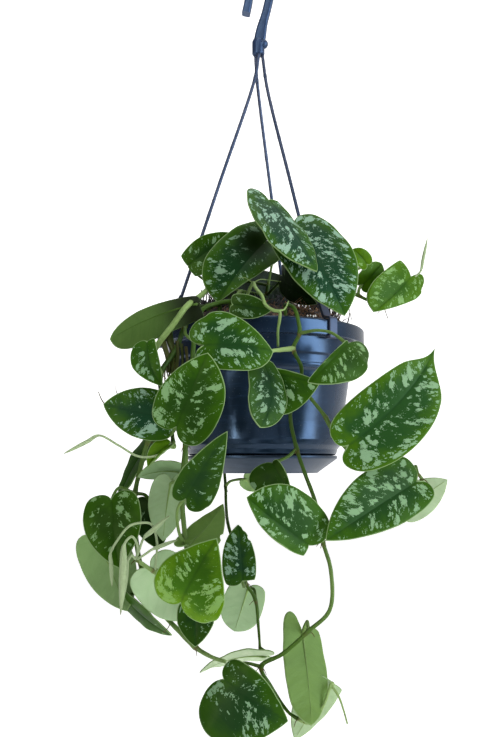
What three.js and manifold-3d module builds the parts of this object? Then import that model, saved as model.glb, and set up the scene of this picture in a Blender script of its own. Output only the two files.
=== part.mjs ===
// Satin pothos (Scindapsus pictus) trailing from a plastic hanging pot.
// Millimetres, +Z up, +X to the plant's right, -Y towards its front.
// The origin is the inside top of the hook, the point the pot hangs from.
import * as THREE from "three";
import { mergeVertices } from "three/addons/utils/BufferGeometryUtils.js";
import Module from "manifold-3d";

const wasm = await Module();
wasm.setup();

// ---- driving dimensions ----
const GAP = 0.3; // clearance between touching pieces

const RIM_TOP = -286; // height of the pot's rim
const RIM_RADIUS = 75;
const RIM_BAND = 11; // height of the overhanging rim band
const SHOULDER_RADIUS = 68.5; // wall just under the rim band
const SHOULDER_BOTTOM = -309;
const NECK_RADIUS = 67;
const NECK_BOTTOM = -318;
const BODY_TOP_RADIUS = 64;
const BODY_BOTTOM_RADIUS = 58;
const BODY_BOTTOM = -366;
const FOOT_RADIUS = 54;
const FOOT_BOTTOM = -376.4;
const WALL = 1.8;
const POT_SIDES = 32;
const DRAIN_HOLES = 4;
const DRAIN_RADIUS = 4;
const DRAIN_CIRCLE = 32;

const SAUCER_TOP = FOOT_BOTTOM - GAP;
const SAUCER_BOTTOM = -389;
const SAUCER_TOP_RADIUS = 54.5;
const SAUCER_BOTTOM_RADIUS = 41.5;
const SAUCER_WALL = 2;

const SOIL_CENTRE = -270; // top of the mounded soil
const SOIL_MOUND = [[65.5, -3], [58, 6], [44, 12], [22, 15]]; // radius, height over the rim
const SOIL_FLOOR = FOOT_BOTTOM + WALL + GAP;
const STEM_HOLE_GAP = 0.5;

const HOOK_BAR = [8, 6.4]; // width across the hook's plane and depth of the bar
const HOOK_CHAMFER = 1.6;
const HOOK_BEND = 8.35; // centre line radius of the bend
const HUB_CENTRE = [-2.2, 0];
const HUB_RADIUS = 4.8;
const HUB_TOP = -56;
const HUB_BOTTOM = -70;
const HUB_BALL = [1.6, -1.2, -61.5];
const HUB_BALL_RADIUS = 3.7;

const STRAND_RADIUS = 1.25;
const STRAND_SIDES = 6;
const STRAND_ROOT = 5; // how far a strand reaches up into the hub
// Each strand's bearing from the pot's axis, its place in the hub and the point below
// the hub from which it runs straight to the rim.
const STRANDS = [
  { name: "strand_left", angle: -170, start: [-2.1, -2.4], bend: [-4.8, -2.6, -89] },
  { name: "strand_right", angle: -52, start: [1, -0.2], bend: [4.2, -7.0, -99] },
  { name: "strand_back", angle: 70, start: [-4.3, 1.4], bend: [-3.3, 3.4, -88] },
];
const STRAP_WIDTH = 6.4;
const STRAP_THICK = 1.5;
const STRAP_TOP = [60.5, -263]; // radius and height where the cord becomes the strap
const STRAP_KNEE = [64, -272.5];
const STRAP_LANDING = 69.5; // radius where the strap meets the rim
const STRAP_CATCH = 3.5; // how far the strap's end hooks in under the rim band

const BLADE = 0.9; // leaf thickness
const LOBE = 0.13; // how far the lobes reach behind the leaf's base, of its length
const CUP = 0.08; // how far the margins droop, of the half width
const DRIP_NARROWING = 0.8; // share of its width a blade loses over its drawn-out tip
const DRIP_REACH = 0.3; // length of that narrowing, as a share of the blade
const TIP_NARROWING = 1.6;
const TIP_START = 0.6; // place along the margin from which "point" narrows the tip
const LEAF_ROWS = 8;
const LEAF_COLUMNS = 2; // in each half of a large blade
const SMALL_LEAF = 46; // narrower blades have one column in each half
const PETIOLE_RADIUS = 0.9;
const PETIOLE_SIDES = 4;
const PETIOLE_STEPS = 1.5; // facets along a petiole, per point of its curve
const ROLLED_STALK_RADIUS = 0.7;
const STEM_SIDES = 6;
const STEM_STEPS = 1.2; // facets along a stem, per point of its curve

// Half outline of a leaf from the sinus round the lobe to the tip.
// x is of the half width, y of the length from base to tip, and lobes are of LOBE.
const HALF_OUTLINE = [
  [0, 0], [0.17, -0.75 * LOBE], [0.43, -LOBE], [0.74, -0.6 * LOBE], [0.94, 0.08], [1, 0.28],
  [0.95, 0.48], [0.79, 0.67], [0.53, 0.83], [0.22, 0.945], [0, 1],
];

// Leafy stems. A stem is [radius, points], rooted in the soil at its first point.
// A leaf is [stem, node, petiole points, base, tip, width, turn, fold, bow, point, more]:
// turn is the angle about the midrib away from facing the front, fold the angle each
// half is raised, bow the arch along the length and point how drawn out the tip is.
// Of more, skew makes one half the wider, lobe scales each half's lobe, belly moves each
// half's widest place towards the tip, neck narrows its base, drip is where along it the
// drawn-out tip starts and sweep bends the midrib.
// A rolled leaf is [stem, node, petiole points, base, tip, radius].
const VINES = [
  {
    "name": "vine_front",
    "stems": [
      [1.3, [[15, -58, -296], [15, -58, -276], [17, -68, -278], [20, -77, -282], [22, -82, -290],
             [23, -82, -299], [19, -82, -309], [24, -81, -321], [23, -79, -332], [17, -77, -349],
             [21, -76, -373], [26, -80, -389], [32, -86, -407], [36, -88, -430], [41, -86, -448],
             [40, -86, -472], [27, -84, -485], [11, -82, -499], [-2, -80, -507], [4, -80, -519],
             [15, -82, -534], [20, -83, -537]]],
      [1.2, [[23, -79, -332], [30, -80, -341], [39, -83, -353], [47, -83, -367], [60, -74, -379],
             [82, -64, -386], [101, -60, -389], [104, -59, -392]]]
    ],
    "leaves": [
      [0, 5, [[34, -87, -298], [43, -89, -300]], // over the rim, right
       [53, -91, -307], [27, -110, -334], 23, 0, 0, 0.1, 0,
       { "skew": -0.76, "lobe": [0.2, 2.6], "belly": [1.2, -0.4] }],
      [0, 6, [[10, -90, -311], [4, -96, -313]], // front, centre
       [-2, -98, -319], [-3, -112, -361], 33, -35, 12, 0.08, 0.2,
       { "sweep": -0.12, "skew": 0.26, "lobe": [1, 0.3], "belly": [0.5, 0.9], "neck": [0.9, 0.9] }],
      [0, 8, [[14, -85, -326]], // behind the front centre leaf
       [4, -90, -325], [35, -93, -332], 29, 15, 8, 0.05, 0.2, { "skew": 0.75 }],
      [0, 10, [[15, -80, -378]], // dark, below the rim
       [5, -84, -382], [16, -90, -401], 24, 0, 10, 0.1, 0.2, { "skew": 0.6, "lobe": [1, 0.3] }],
      [0, 13, [[33, -96, -429]], // lower front
       [26, -104, -431], [-11, -118, -402], 36, 20, 10, 0.06, 0.4,
       { "sweep": -0.04, "skew": 0.41, "lobe": [1.3, 0.1], "belly": [0.5, 0.2] }],
      [0, 16, [[27, -73, -481]], // lowest right, underside
       [24, -66, -488], [28, -90, -539], 31, 150, 8, 0.06, 0.5,
       { "sweep": 0.05, "lobe": [0.4, 1.5], "belly": [0.5, 0.7] }],
      [0, 18, [[-14, -76, -506]], // lowest centre
       [-25, -86, -513], [14, -88, -537], 48, 0, 4, 0.12, 0.4,
       { "skew": 0.34, "lobe": [0.9, 0.6], "belly": [0, -0.3] }],
      [0, 21, [[27, -81, -540], [36, -78, -531], [42, -72, -519]], // lowest, pale underside
       [44, -66, -521], [19, -68, -554], 26, 165, 8, 0.08, 0.2,
       { "skew": -0.2, "lobe": [0.1, 0.1], "neck": [0.6, 0.9] }],
      [1, 2, [[44, -88, -363]], // largest, right
       [52, -93, -371], [111, -76, -308], 51, 0, 8, 0.06, 0,
       { "sweep": 0.06, "skew": 0.06, "lobe": [0.3, 0.1],
         "belly": [0, -0.5], "neck": [0, 0], "drip": [0.7, 0.7] }],
      [1, 6, [[99, -65, -384]], // lower right
       [98, -72, -394], [36, -108, -428], 40, 12, 10, 0.05, 0.3,
       { "skew": 0.12, "lobe": [0.5, 0.7], "belly": [0.2, -0.1] }],
      [1, 7, [[104, -54, -404]], // lower right, underside
       [94, -52, -412], [124, -46, -393], 24, 175, 5, 0.05, 0.3]
    ],
    "rolled": []
  },
  {
    "name": "vine_right",
    "stems": [
      [1.2, [[40, -8, -296], [40, -8, -268], [52, -9, -262], [63, -8, -257], [71, -6, -259],
             [79, -4, -262], [97, 3, -257], [111, 6, -247]]]
    ],
    "leaves": [
      [0, 7, [[114, 7, -243]], // lime young leaf
       [112, 4, -243], [81, -14, -273], 33, -15, 8, 0.06, 0.4,
       { "skew": 0.1, "lobe": [0.4, 2], "belly": [1.2, -0.9] }],
      [0, 3, [[66, -9, -243], [73, -11, -239]], // smallest
       [77, -12, -237], [66, -18, -227], 13, 0, 10, 0.1, 0, { "belly": [0.3, 0.3] }],
      [0, 4, [[72, -5, -254]], // small, olive
       [75, -2, -250], [90, 2, -233], 18, 20, 10, 0.1, 0.1, { "belly": [0.3, 0.3] }]
    ],
    "rolled": [
      [0, 7, [[116, 7, -242]], [120, 6, -238], [127, 10, -210], 1.3]
    ]
  },
  {
    "name": "vine_crown",
    "stems": [
      [1.8, [[3, 8, -296], [3, 8, -268], [4, 9, -256], [5, 10, -248]]]
    ],
    "leaves": [
      [0, 3, [[9, 16, -224], [9, -6, -205], [5, -34, -199]], // tallest
       [4, -50, -201], [35, -74, -257], 44, -46, 0, 0.03, 0.3,
       { "skew": 0.36, "lobe": [1.5, 0.1], "belly": [0.4, 0.2], "neck": [0.6, 0.95] }],
      [0, 2, [[20, -8, -242], [26, -30, -232]], // large, right
       [22, -47, -222], [54, -66, -285], 51, -15, 10, 0.08, 0.4,
       { "skew": -0.06, "lobe": [1, 1.2], "belly": [0.2, 0.3] }],
      [0, 2, [[-22, 4, -252], [-42, -8, -248]], // small, left
       [-54, -15, -239], [-20, -15, -215], 27, 0, 10, 0.08, 0.3,
       { "skew": 0.05, "lobe": [0.5, 0.4], "belly": [-0.2, 0] }],
      [0, 3, [[-2, 12, -246]], // arched, dark
       [-14, 14, -244], [36, 26, -247], 32, 180, 6, 0.12, 0.3, { "skew": -0.27 }],
      [0, 2, [[12, -6, -250]], // dark, under the large one
       [15, -14, -246], [38, -46, -273], 20, 50, 10, 0.1, 0.3]
    ],
    "rolled": []
  },
  {
    "name": "vine_left",
    "stems": [
      [1.7, [[-30, -40, -296], [-30, -40, -272], [-38, -50, -275], [-47, -59, -281], [-52, -64, -291],
             [-58, -67, -308], [-67, -74, -325], [-64, -74, -345], [-60, -72, -358], [-58, -78, -369]]]
    ],
    "leaves": [
      [0, 6, [[-71, -83, -313], [-68, -84, -307], [-58, -86, -294], [-50, -83, -282], // large, upper left
        [-42, -60, -270], [-36, -26, -256], [-18, -8, -236]],
       [3, -12, -220], [-31, -45, -272], 45, 0, 14, 0.06, 0.5,
       { "sweep": 0.02, "skew": 0.17, "lobe": [2.1, 1.3], "belly": [1, -0.9], "neck": [0.3, 0] }],
      [0, 3, [[-45, -68, -279]], // left, underside
       [-42, -79, -279], [-100, -76, -302], 24, 165, 8, 0.06, 0.4,
       { "sweep": -0.04, "skew": 0.3, "lobe": [0, 0.2], "belly": [1, 0.6], "neck": [0.95, 0.95] }],
      [0, 4, [[-49, -90, -302]], // front left
       [-37, -117, -312], [5, -111, -315], 36, 0, 6, 0.06, 0.3,
       { "sweep": -0.04, "skew": -0.14, "lobe": [0.8, 1.6], "belly": [0.7, -0.6] }],
      [0, 6, [[-78, -84, -314]], // small, left
       [-74, -90, -306], [-63, -98, -335], 19, 0, 8, 0.1, 0.5,
       { "sweep": 0.08, "skew": 0.26, "lobe": [1, 0.6], "belly": [0, 0.1] }],
      [0, 7, [[-61, -79, -352]], // left, pointing out
       [-61, -84, -354], [-102, -84, -345], 33, 0, 8, 0.06, 0.2],
      [0, 8, [[-58, -90, -364]], // large, left front
       [-54, -103, -360], [-34, -122, -317], 41, 0, 6, 0.06, 0.1,
       { "skew": 0.1, "lobe": [1.3, 0.7], "belly": [0.3, -0.2] }],
      [0, 9, [[-57, -82, -372]], // folded young leaf
       [-60, -84, -371], [-73, -86, -385], 15, 40, 35, 0.1, 0.4]
    ],
    "rolled": [
      [0, 9, [[-66, -88, -377], [-78, -90, -378], [-91, -91, -371]],
       [-103, -92, -365], [-125, -96, -377], 1.3]
    ]
  },
  {
    "name": "vine_left_long",
    "stems": [
      [1.6, [[-38, -28, -296], [-38, -28, -271], [-50, -38, -275], [-60, -46, -281], [-63, -52, -291],
             [-60, -56, -310], [-58, -57, -335], [-68, -54, -350], [-77, -50, -367], [-82, -50, -385],
             [-85, -54, -402], [-84, -60, -418], [-82, -58, -440], [-76, -54, -462], [-65, -54, -480],
             [-55, -60, -489], [-44, -66, -498], [-33, -72, -503], [-24, -76, -505]]]
    ],
    "leaves": [
      [0, 8, [[-78, -40, -362]], // dark, nearly edge on
       [-77, -30, -366], [-99, -32, -407], 34, 66, 6, 0.04, 0.2],
      [0, 10, [[-94, -66, -398]], // heart, far left
       [-97, -77, -405], [-89, -92, -446], 37, 0, 8, 0.08, 0.3, { "lobe": [0.8, 0.8] }],
      [0, 11, [[-100, -52, -424]], // far left, underside
       [-111, -46, -433], [-90, -48, -479], 36, 180, 8, 0.08, 0.1],
      [0, 10, [[-78, -56, -403]], // dark, inside
       [-75, -56, -407], [-68, -60, -438], 27, 0, 8, 0.08, 0.5],
      [0, 13, [[-84, -50, -466]], // low, dark
       [-91, -46, -471], [-60, -50, -494], 24, 55, 6, 0.05, 0.2],
      [0, 16, [[-42, -70, -486]], // low, dark, behind the lime heart
       [-43, -72, -470], [-43, -77, -496], 24, 0, 8, 0.05, 0.5]
    ],
    "rolled": []
  },
  {
    "name": "vine_left_lower",
    "stems": [
      [1.6, [[-22, -46, -296], [-22, -46, -271], [-32, -57, -275], [-41, -65, -281], [-44, -70, -291],
             [-46, -74, -310], [-47, -76, -340], [-50, -78, -370], [-52, -78, -400], [-50, -82, -424],
             [-48, -84, -434], [-50, -82, -448], [-58, -80, -453], [-68, -84, -449], [-79, -90, -441]]]
    ],
    "leaves": [
      [0, 10, [[-52, -96, -425], [-52, -110, -409]], // pointed, in front
       [-47, -116, -403], [-22, -136, -364], 27, 22, 2, 0.03, 0.4,
       { "sweep": -0.03, "skew": 0.2, "lobe": [1, 0.5], "belly": [-0.7, -0.4] }],
      [0, 7, [[-50, -70, -382]], // pale underside, level
       [-53, -65, -388], [-82, -64, -391], 20, 130, 8, 0.1, 0],
      [0, 8, [[-56, -72, -394]], // pale underside, hanging
       [-60, -70, -394], [-65, -66, -432], 25, 165, 8, 0.08, 0.2],
      [0, 10, [[-46, -88, -434]], // folded, underside
       [-47, -91, -432], [-26, -70, -408], 26, 150, 20, 0.1, 0.5],
      [0, 12, [[-64, -74, -450]], // large pale underside
       [-72, -70, -449], [-44, -64, -481], 40, 180, 8, 0.08, 0, { "belly": [0.2, 0.2] }],
      [0, 11, [[-52, -98, -461]], // lime heart
       [-50, -107, -464], [-28, -126, -425], 45, 0, 8, 0.08, 0.5,
       { "sweep": -0.02, "skew": 0.09, "lobe": [1.1, 0.9], "belly": [-0.5, -0.1] }]
    ],
    "rolled": [
      [0, 13, [[-66, -94, -429], [-69, -99, -419], [-75, -101, -418], [-82, -101, -420],
        [-88, -101, -427]],
       [-93, -101, -436], [-92, -99, -457], 1.3],
      [0, 14, [[-77, -101, -431], [-80, -104, -426]], [-84, -105, -430], [-86, -104, -474], 2.4],
      [0, 14, [[-76, -98, -434]], [-73, -101, -427], [-57, -102, -413], 1.6],
      [0, 14, [[-74, -96, -438]], [-68, -97, -434], [-52, -97, -428], 1.3],
      [0, 14, [[-81, -97, -438]], [-83, -97, -441], [-87, -95, -471], 1.6]
    ]
  },
  {
    "name": "vine_rim",
    "stems": [
      [1.2, [[-12, -50, -296], [-12, -50, -271], [-14, -56, -266], [-16, -62, -268]]],
      [1.1, [[-12, -50, -271], [-7, -62, -262], [-5, -74, -268], [-1, -82, -275], [1, -85, -281],
             [6, -87, -285], [10, -87, -286], [10, -86, -291], [9, -85, -297], [9, -84, -308]]]
    ],
    "leaves": [
      [0, 3, [[-19, -74, -275]], // small, at the rim
       [-20, -80, -280], [5, -81, -284], 16, 10, 8, 0.06, 0.2, { "lobe": [0.5, 0.5] }]
    ],
    "rolled": []
  },
  {
    "name": "vine_back_long",
    "stems": [
      [1.2, [[-20, 40, -296], [-20, 40, -271], [-26, 56, -273], [-31, 71, -281], [-34, 79, -292],
             [-34, 80, -320], [-32, 77, -350], [-30, 70, -380], [-28, 56, -400], [-27, 40, -416],
             [-24, 12, -430], [-17, 0, -448], [-12, -6, -466], [-5, -6, -478], [-3, -10, -495],
             [-2, -22, -508]]]
    ],
    "leaves": [
      [0, 12, [[-13, -14, -468]], // dark, lower centre
       [-14, -22, -463], [-17, -28, -424], 24, 10, 8, 0.06, 0,
       { "skew": -0.16, "lobe": [0, 0.5], "belly": [0, 0.1] }],
      [0, 13, [[-6, 2, -472]], // pale underside
       [-10, 8, -472], [-20, 10, -503], 30, 180, 5, 0.06, 0, { "belly": [0.6, 0.6] }],
      [0, 15, [[3, -30, -510]], [1, -36, -510], [-42, -44, -519], 26, 118, 6, 0.08, 0.2], // edge on
      [0, 8, [[-24, 52, -396]], [-13, 50, -394], [0, 52, -403], 14, 180, 8, 0.1, 0.3] // small, pale
    ],
    "rolled": []
  },
  {
    "name": "vine_back_right",
    "stems": [
      [1.4, [[34, 38, -296], [34, 38, -271], [44, 52, -274], [51, 59, -281], [56, 66, -292],
             [54, 68, -315], [48, 72, -340], [42, 74, -365]]]
    ],
    "leaves": [
      [0, 4, [[58, 74, -290]], [56, 80, -294], [44, 92, -332], 34, 180, 10, 0.08, 0.3],
      [0, 6, [[44, 82, -342]], [38, 86, -346], [30, 88, -378], 28, 180, 10, 0.08, 0.3],
      [0, 1, [[37, 40, -258]], [38, 46, -250], [37, 62, -216], 26, 175, 10, 0.1, 0.3]
    ],
    "rolled": []
  },
  {
    "name": "vine_back_left",
    "stems": [
      [1.4, [[-6, 44, -296], [-6, 44, -271], [-6, 60, -274], [-4, 75, -281], [-2, 84, -292],
             [2, 84, -318], [8, 80, -345], [10, 76, -370]]]
    ],
    "leaves": [
      [0, 4, [[-4, 92, -292]], [-8, 96, -298], [-18, 102, -340], 36, 180, 10, 0.08, 0.3],
      [0, 6, [[8, 90, -346]], [6, 94, -350], [0, 96, -384], 28, 180, 10, 0.08, 0.3],
      [0, 1, [[-10, 50, -256]], [-14, 54, -250], [-34, 66, -270], 34, 150, 10, 0.1, 0.3]
    ],
    "rolled": []
  }
];

// ---- materials ----
const plastic = (name) =>
  new THREE.MeshStandardMaterial({ name, color: 0x2c3c5c, roughness: 0.35, metalness: 0 });
const peat = new THREE.MeshStandardMaterial({ name: "peat", color: 0x3a2618, roughness: 0.95 });
const foliage = new THREE.MeshStandardMaterial({ name: "foliage", color: 0x2f6b35, roughness: 0.5 });

// ---- helpers ----
const vec = (p) => new THREE.Vector3(...p);
const polar = (radius, degrees) => {
  const a = THREE.MathUtils.degToRad(degrees);
  return [radius * Math.cos(a), radius * Math.sin(a)];
};

function signedVolume(positions, index) {
  const [a, b, c] = [new THREE.Vector3(), new THREE.Vector3(), new THREE.Vector3()];
  let sum = 0;
  for (let i = 0; i < index.length; i += 3) {
    a.fromArray(positions, index[i] * 3);
    b.fromArray(positions, index[i + 1] * 3);
    c.fromArray(positions, index[i + 2] * 3);
    sum += a.dot(b.cross(c));
  }
  return sum / 6;
}

// Turns a closed geometry into a solid with its faces pointing out.
function toSolid(geometry) {
  const bare = geometry.clone();
  bare.deleteAttribute("normal");
  bare.deleteAttribute("uv");
  const merged = mergeVertices(bare, 1e-4);
  const positions = merged.attributes.position.array;
  const index = [];
  for (let i = 0; i < merged.index.count; i += 3) {
    const [a, b, c] = merged.index.array.slice(i, i + 3);
    if (a !== b && b !== c && c !== a) index.push(a, b, c);
  }
  if (signedVolume(positions, index) < 0) index.reverse();
  return new wasm.Manifold(
    new wasm.Mesh({
      numProp: 3,
      vertProperties: Float32Array.from(positions),
      triVerts: Uint32Array.from(index),
    }),
  );
}

function toMesh(name, solid, material) {
  const data = solid.getMesh();
  const geometry = new THREE.BufferGeometry();
  geometry.setAttribute("position", new THREE.BufferAttribute(data.vertProperties, 3));
  geometry.setIndex(new THREE.BufferAttribute(data.triVerts, 1));
  geometry.computeVertexNormals();
  const mesh = new THREE.Mesh(geometry, material);
  mesh.name = name;
  return mesh;
}

const union = (solids) => wasm.Manifold.union(solids);

const lathe = (profile, sides = POT_SIDES) =>
  toSolid(new THREE.LatheGeometry(profile.map(([r, z]) => new THREE.Vector2(r, z)), sides)
    .rotateX(Math.PI / 2));

function roundShape(radius, sides) {
  const shape = new THREE.Shape();
  for (let i = 0; i < sides; i++) {
    const [x, y] = polar(radius, (360 * i) / sides);
    if (i === 0) shape.moveTo(x, y);
    else shape.lineTo(x, y);
  }
  shape.closePath();
  return shape;
}

const smooth = (points) =>
  new THREE.CatmullRomCurve3(points.map(vec), false, "centripetal");

const stepsAlong = (points, stepsPerSpan) => Math.ceil((points.length - 1) * stepsPerSpan);

// A rod of constant section along a smooth curve through the points.
function rod(points, shape, stepsPerSpan = 2) {
  return toSolid(
    new THREE.ExtrudeGeometry(shape, {
      steps: stepsAlong(points, stepsPerSpan),
      extrudePath: smooth(points),
      bevelEnabled: false,
    }),
  );
}

const uprightCylinder = (x, y, bottom, top, radius, sides) =>
  toSolid(
    new THREE.CylinderGeometry(radius, radius, top - bottom, sides)
      .rotateX(Math.PI / 2)
      .translate(x, y, (top + bottom) / 2),
  );

// ---- pot, saucer and soil ----
function buildPot() {
  const bandBottom = RIM_TOP - RIM_BAND;
  const floorTop = FOOT_BOTTOM + WALL;
  const body = lathe([
    [0, FOOT_BOTTOM],
    [FOOT_RADIUS - 1.5, FOOT_BOTTOM],
    [FOOT_RADIUS, FOOT_BOTTOM + 1],
    [FOOT_RADIUS + 0.6, FOOT_BOTTOM + 4],
    [BODY_BOTTOM_RADIUS - 1, BODY_BOTTOM - 3.4],
    [BODY_BOTTOM_RADIUS, BODY_BOTTOM],
    [BODY_BOTTOM_RADIUS + 0.8, BODY_BOTTOM + 12],
    [BODY_TOP_RADIUS, NECK_BOTTOM - 2],
    [BODY_TOP_RADIUS + 2, NECK_BOTTOM - 0.4],
    [NECK_RADIUS, NECK_BOTTOM],
    [NECK_RADIUS, SHOULDER_BOTTOM],
    [SHOULDER_RADIUS, SHOULDER_BOTTOM + 0.6],
    [SHOULDER_RADIUS, bandBottom],
    [RIM_RADIUS, bandBottom],
    [RIM_RADIUS, RIM_TOP - 1],
    [RIM_RADIUS - 1, RIM_TOP],
    [RIM_RADIUS - 4, RIM_TOP],
    [RIM_RADIUS - 4.6, RIM_TOP - 1],
    [SHOULDER_RADIUS - WALL, bandBottom],
    [SHOULDER_RADIUS - WALL, SHOULDER_BOTTOM],
    [BODY_TOP_RADIUS - WALL, NECK_BOTTOM - 2],
    [BODY_BOTTOM_RADIUS - WALL, BODY_BOTTOM],
    [FOOT_RADIUS - WALL, floorTop + 3],
    [FOOT_RADIUS - WALL - 2, floorTop],
    [0, floorTop],
  ]);
  const drains = [];
  for (let i = 0; i < DRAIN_HOLES; i++) {
    const [x, y] = polar(DRAIN_CIRCLE, 45 + (360 * i) / DRAIN_HOLES);
    drains.push(uprightCylinder(x, y, FOOT_BOTTOM - 1, floorTop + 1, DRAIN_RADIUS, 12));
  }
  return body.subtract(union(drains));
}

function buildSaucer() {
  return lathe([
    [0, SAUCER_BOTTOM],
    [SAUCER_BOTTOM_RADIUS - 1, SAUCER_BOTTOM],
    [SAUCER_BOTTOM_RADIUS, SAUCER_BOTTOM + 1],
    [SAUCER_TOP_RADIUS, SAUCER_TOP - 2],
    [SAUCER_TOP_RADIUS, SAUCER_TOP],
    [SAUCER_TOP_RADIUS - SAUCER_WALL, SAUCER_TOP],
    [SAUCER_BOTTOM_RADIUS - SAUCER_WALL, SAUCER_BOTTOM + SAUCER_WALL],
    [0, SAUCER_BOTTOM + SAUCER_WALL],
  ]);
}

function buildSoil() {
  const body = lathe([
    [0, SOIL_FLOOR],
    [FOOT_RADIUS - WALL - 3, SOIL_FLOOR],
    [FOOT_RADIUS - WALL - GAP, SOIL_FLOOR + 3.4],
    [BODY_BOTTOM_RADIUS - WALL - GAP - 0.2, BODY_BOTTOM],
    [BODY_TOP_RADIUS - WALL - GAP - 0.2, NECK_BOTTOM - 2],
    [SHOULDER_RADIUS - WALL - GAP - 0.3, SHOULDER_BOTTOM],
    [SHOULDER_RADIUS - WALL - GAP - 0.3, RIM_TOP - 8],
    ...SOIL_MOUND.map(([radius, rise]) => [radius, RIM_TOP + rise]),
    [0, SOIL_CENTRE],
  ]);
  const holes = VINES.map(({ stems }) => {
    const [radius, [[x, y, foot]]] = stems[0];
    return uprightCylinder(x, y, foot - 1, SOIL_CENTRE + 20, radius + STEM_HOLE_GAP, 8);
  });
  return body.subtract(union(holes));
}

// ---- hanger ----
const HOOK_LINE = [
  [-11.8, -36.5], [-10.2, -29], [-9, -20], [-HOOK_BEND, -11],
  [-HOOK_BEND, -4.35], [-5.9, 1.6], [0, 4], [5.9, 1.6], [HOOK_BEND, -4.35],
  [8.3, -12], [6.8, -22], [3.9, -35], [1, -46], [-1.2, -58],
];

function buildHook() {
  const [across, deep] = HOOK_BAR;
  const chamfer = HOOK_CHAMFER;
  const section = new THREE.Shape();
  section.moveTo(-deep / 2 + chamfer, -across / 2);
  section.lineTo(deep / 2 - chamfer, -across / 2);
  section.lineTo(deep / 2, -across / 2 + chamfer);
  section.lineTo(deep / 2, across / 2 - chamfer);
  section.lineTo(deep / 2 - chamfer, across / 2);
  section.lineTo(-deep / 2 + chamfer, across / 2);
  section.lineTo(-deep / 2, across / 2 - chamfer);
  section.lineTo(-deep / 2, -across / 2 + chamfer);
  section.closePath();
  const bar = rod(HOOK_LINE.map(([x, z]) => [x, 0, z]), section, 1.4);
  const [hx, hy] = HUB_CENTRE;
  const hub = lathe([
    [0, HUB_BOTTOM],
    [HUB_RADIUS - 0.6, HUB_BOTTOM],
    [HUB_RADIUS, HUB_BOTTOM + 0.8],
    [HUB_RADIUS, HUB_TOP - 3],
    [HUB_RADIUS - 1.6, HUB_TOP],
    [0, HUB_TOP],
  ], 16).translate([hx, hy, 0]);
  const ball = toSolid(new THREE.SphereGeometry(HUB_BALL_RADIUS, 12, 8)).translate(HUB_BALL);
  const holeTop = HUB_BOTTOM + STRAND_ROOT + GAP;
  const holes = STRANDS.map(({ start: [x, y] }) =>
    uprightCylinder(x, y, HUB_BOTTOM - 1, holeTop, STRAND_RADIUS + GAP, 8),
  );
  return union([bar, hub, ball]).subtract(union(holes));
}

// One strand: a round cord from the hub and a flat strap that hooks round the rim.
function buildStrand({ angle, start: [x, y], bend }) {
  const [topRadius, topHeight] = STRAP_TOP;
  const [tx, ty] = polar(topRadius, angle);
  const rootTop = HUB_BOTTOM + STRAND_ROOT;
  const root = uprightCylinder(x, y, HUB_BOTTOM - 2, rootTop, STRAND_RADIUS, STRAND_SIDES);
  const end = vec([tx, ty, topHeight]);
  const halfway = vec(bend).lerp(end, 0.5);
  const line = [[x, y, HUB_BOTTOM - 1], bend, halfway.toArray(), end.toArray()];
  const cord = rod(line, roundShape(STRAND_RADIUS, STRAND_SIDES), 4);
  const inner = RIM_RADIUS + GAP;
  const over = RIM_TOP + GAP;
  const under = RIM_TOP - RIM_BAND - GAP;
  const profile = [
    [topRadius - 1.6, topHeight + 2],
    [topRadius + 1, topHeight + 3],
    [STRAP_KNEE[0] + STRAP_THICK, STRAP_KNEE[1] + STRAP_THICK],
    [STRAP_LANDING + 1, over + STRAP_THICK + 1.2],
    [inner + STRAP_THICK - 1, over + STRAP_THICK],
    [inner + STRAP_THICK, over + STRAP_THICK - 1],
    [inner + STRAP_THICK, under - STRAP_THICK],
    [inner - STRAP_CATCH, under - STRAP_THICK],
    [inner - STRAP_CATCH, under],
    [inner, under],
    [inner, over],
    [STRAP_LANDING, over],
    STRAP_KNEE,
  ];
  const shape = new THREE.Shape(profile.map(([r, z]) => new THREE.Vector2(r, z)));
  const strap = toSolid(
    new THREE.ExtrudeGeometry(shape, { depth: STRAP_WIDTH, bevelEnabled: false })
      .translate(0, 0, -STRAP_WIDTH / 2)
      .rotateX(Math.PI / 2)
      .rotateZ(THREE.MathUtils.degToRad(angle)),
  );
  return union([root, cord, strap]);
}

// ---- foliage ----
const OUTLINE = new THREE.SplineCurve(HALF_OUTLINE.map(([x, y]) => new THREE.Vector2(x, y)));

// The leaf's own axes: along the midrib, across it and out of its upper face.
function leafAxes(base, tip, turn) {
  const along = vec(tip).sub(vec(base));
  const length = along.length();
  along.normalize();
  const out = new THREE.Vector3(0, -1, 0);
  out.addScaledVector(along, -out.dot(along)).normalize();
  out.applyAxisAngle(along, THREE.MathUtils.degToRad(turn));
  const across = new THREE.Vector3().crossVectors(along, out);
  return { length, along, across, out };
}

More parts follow.
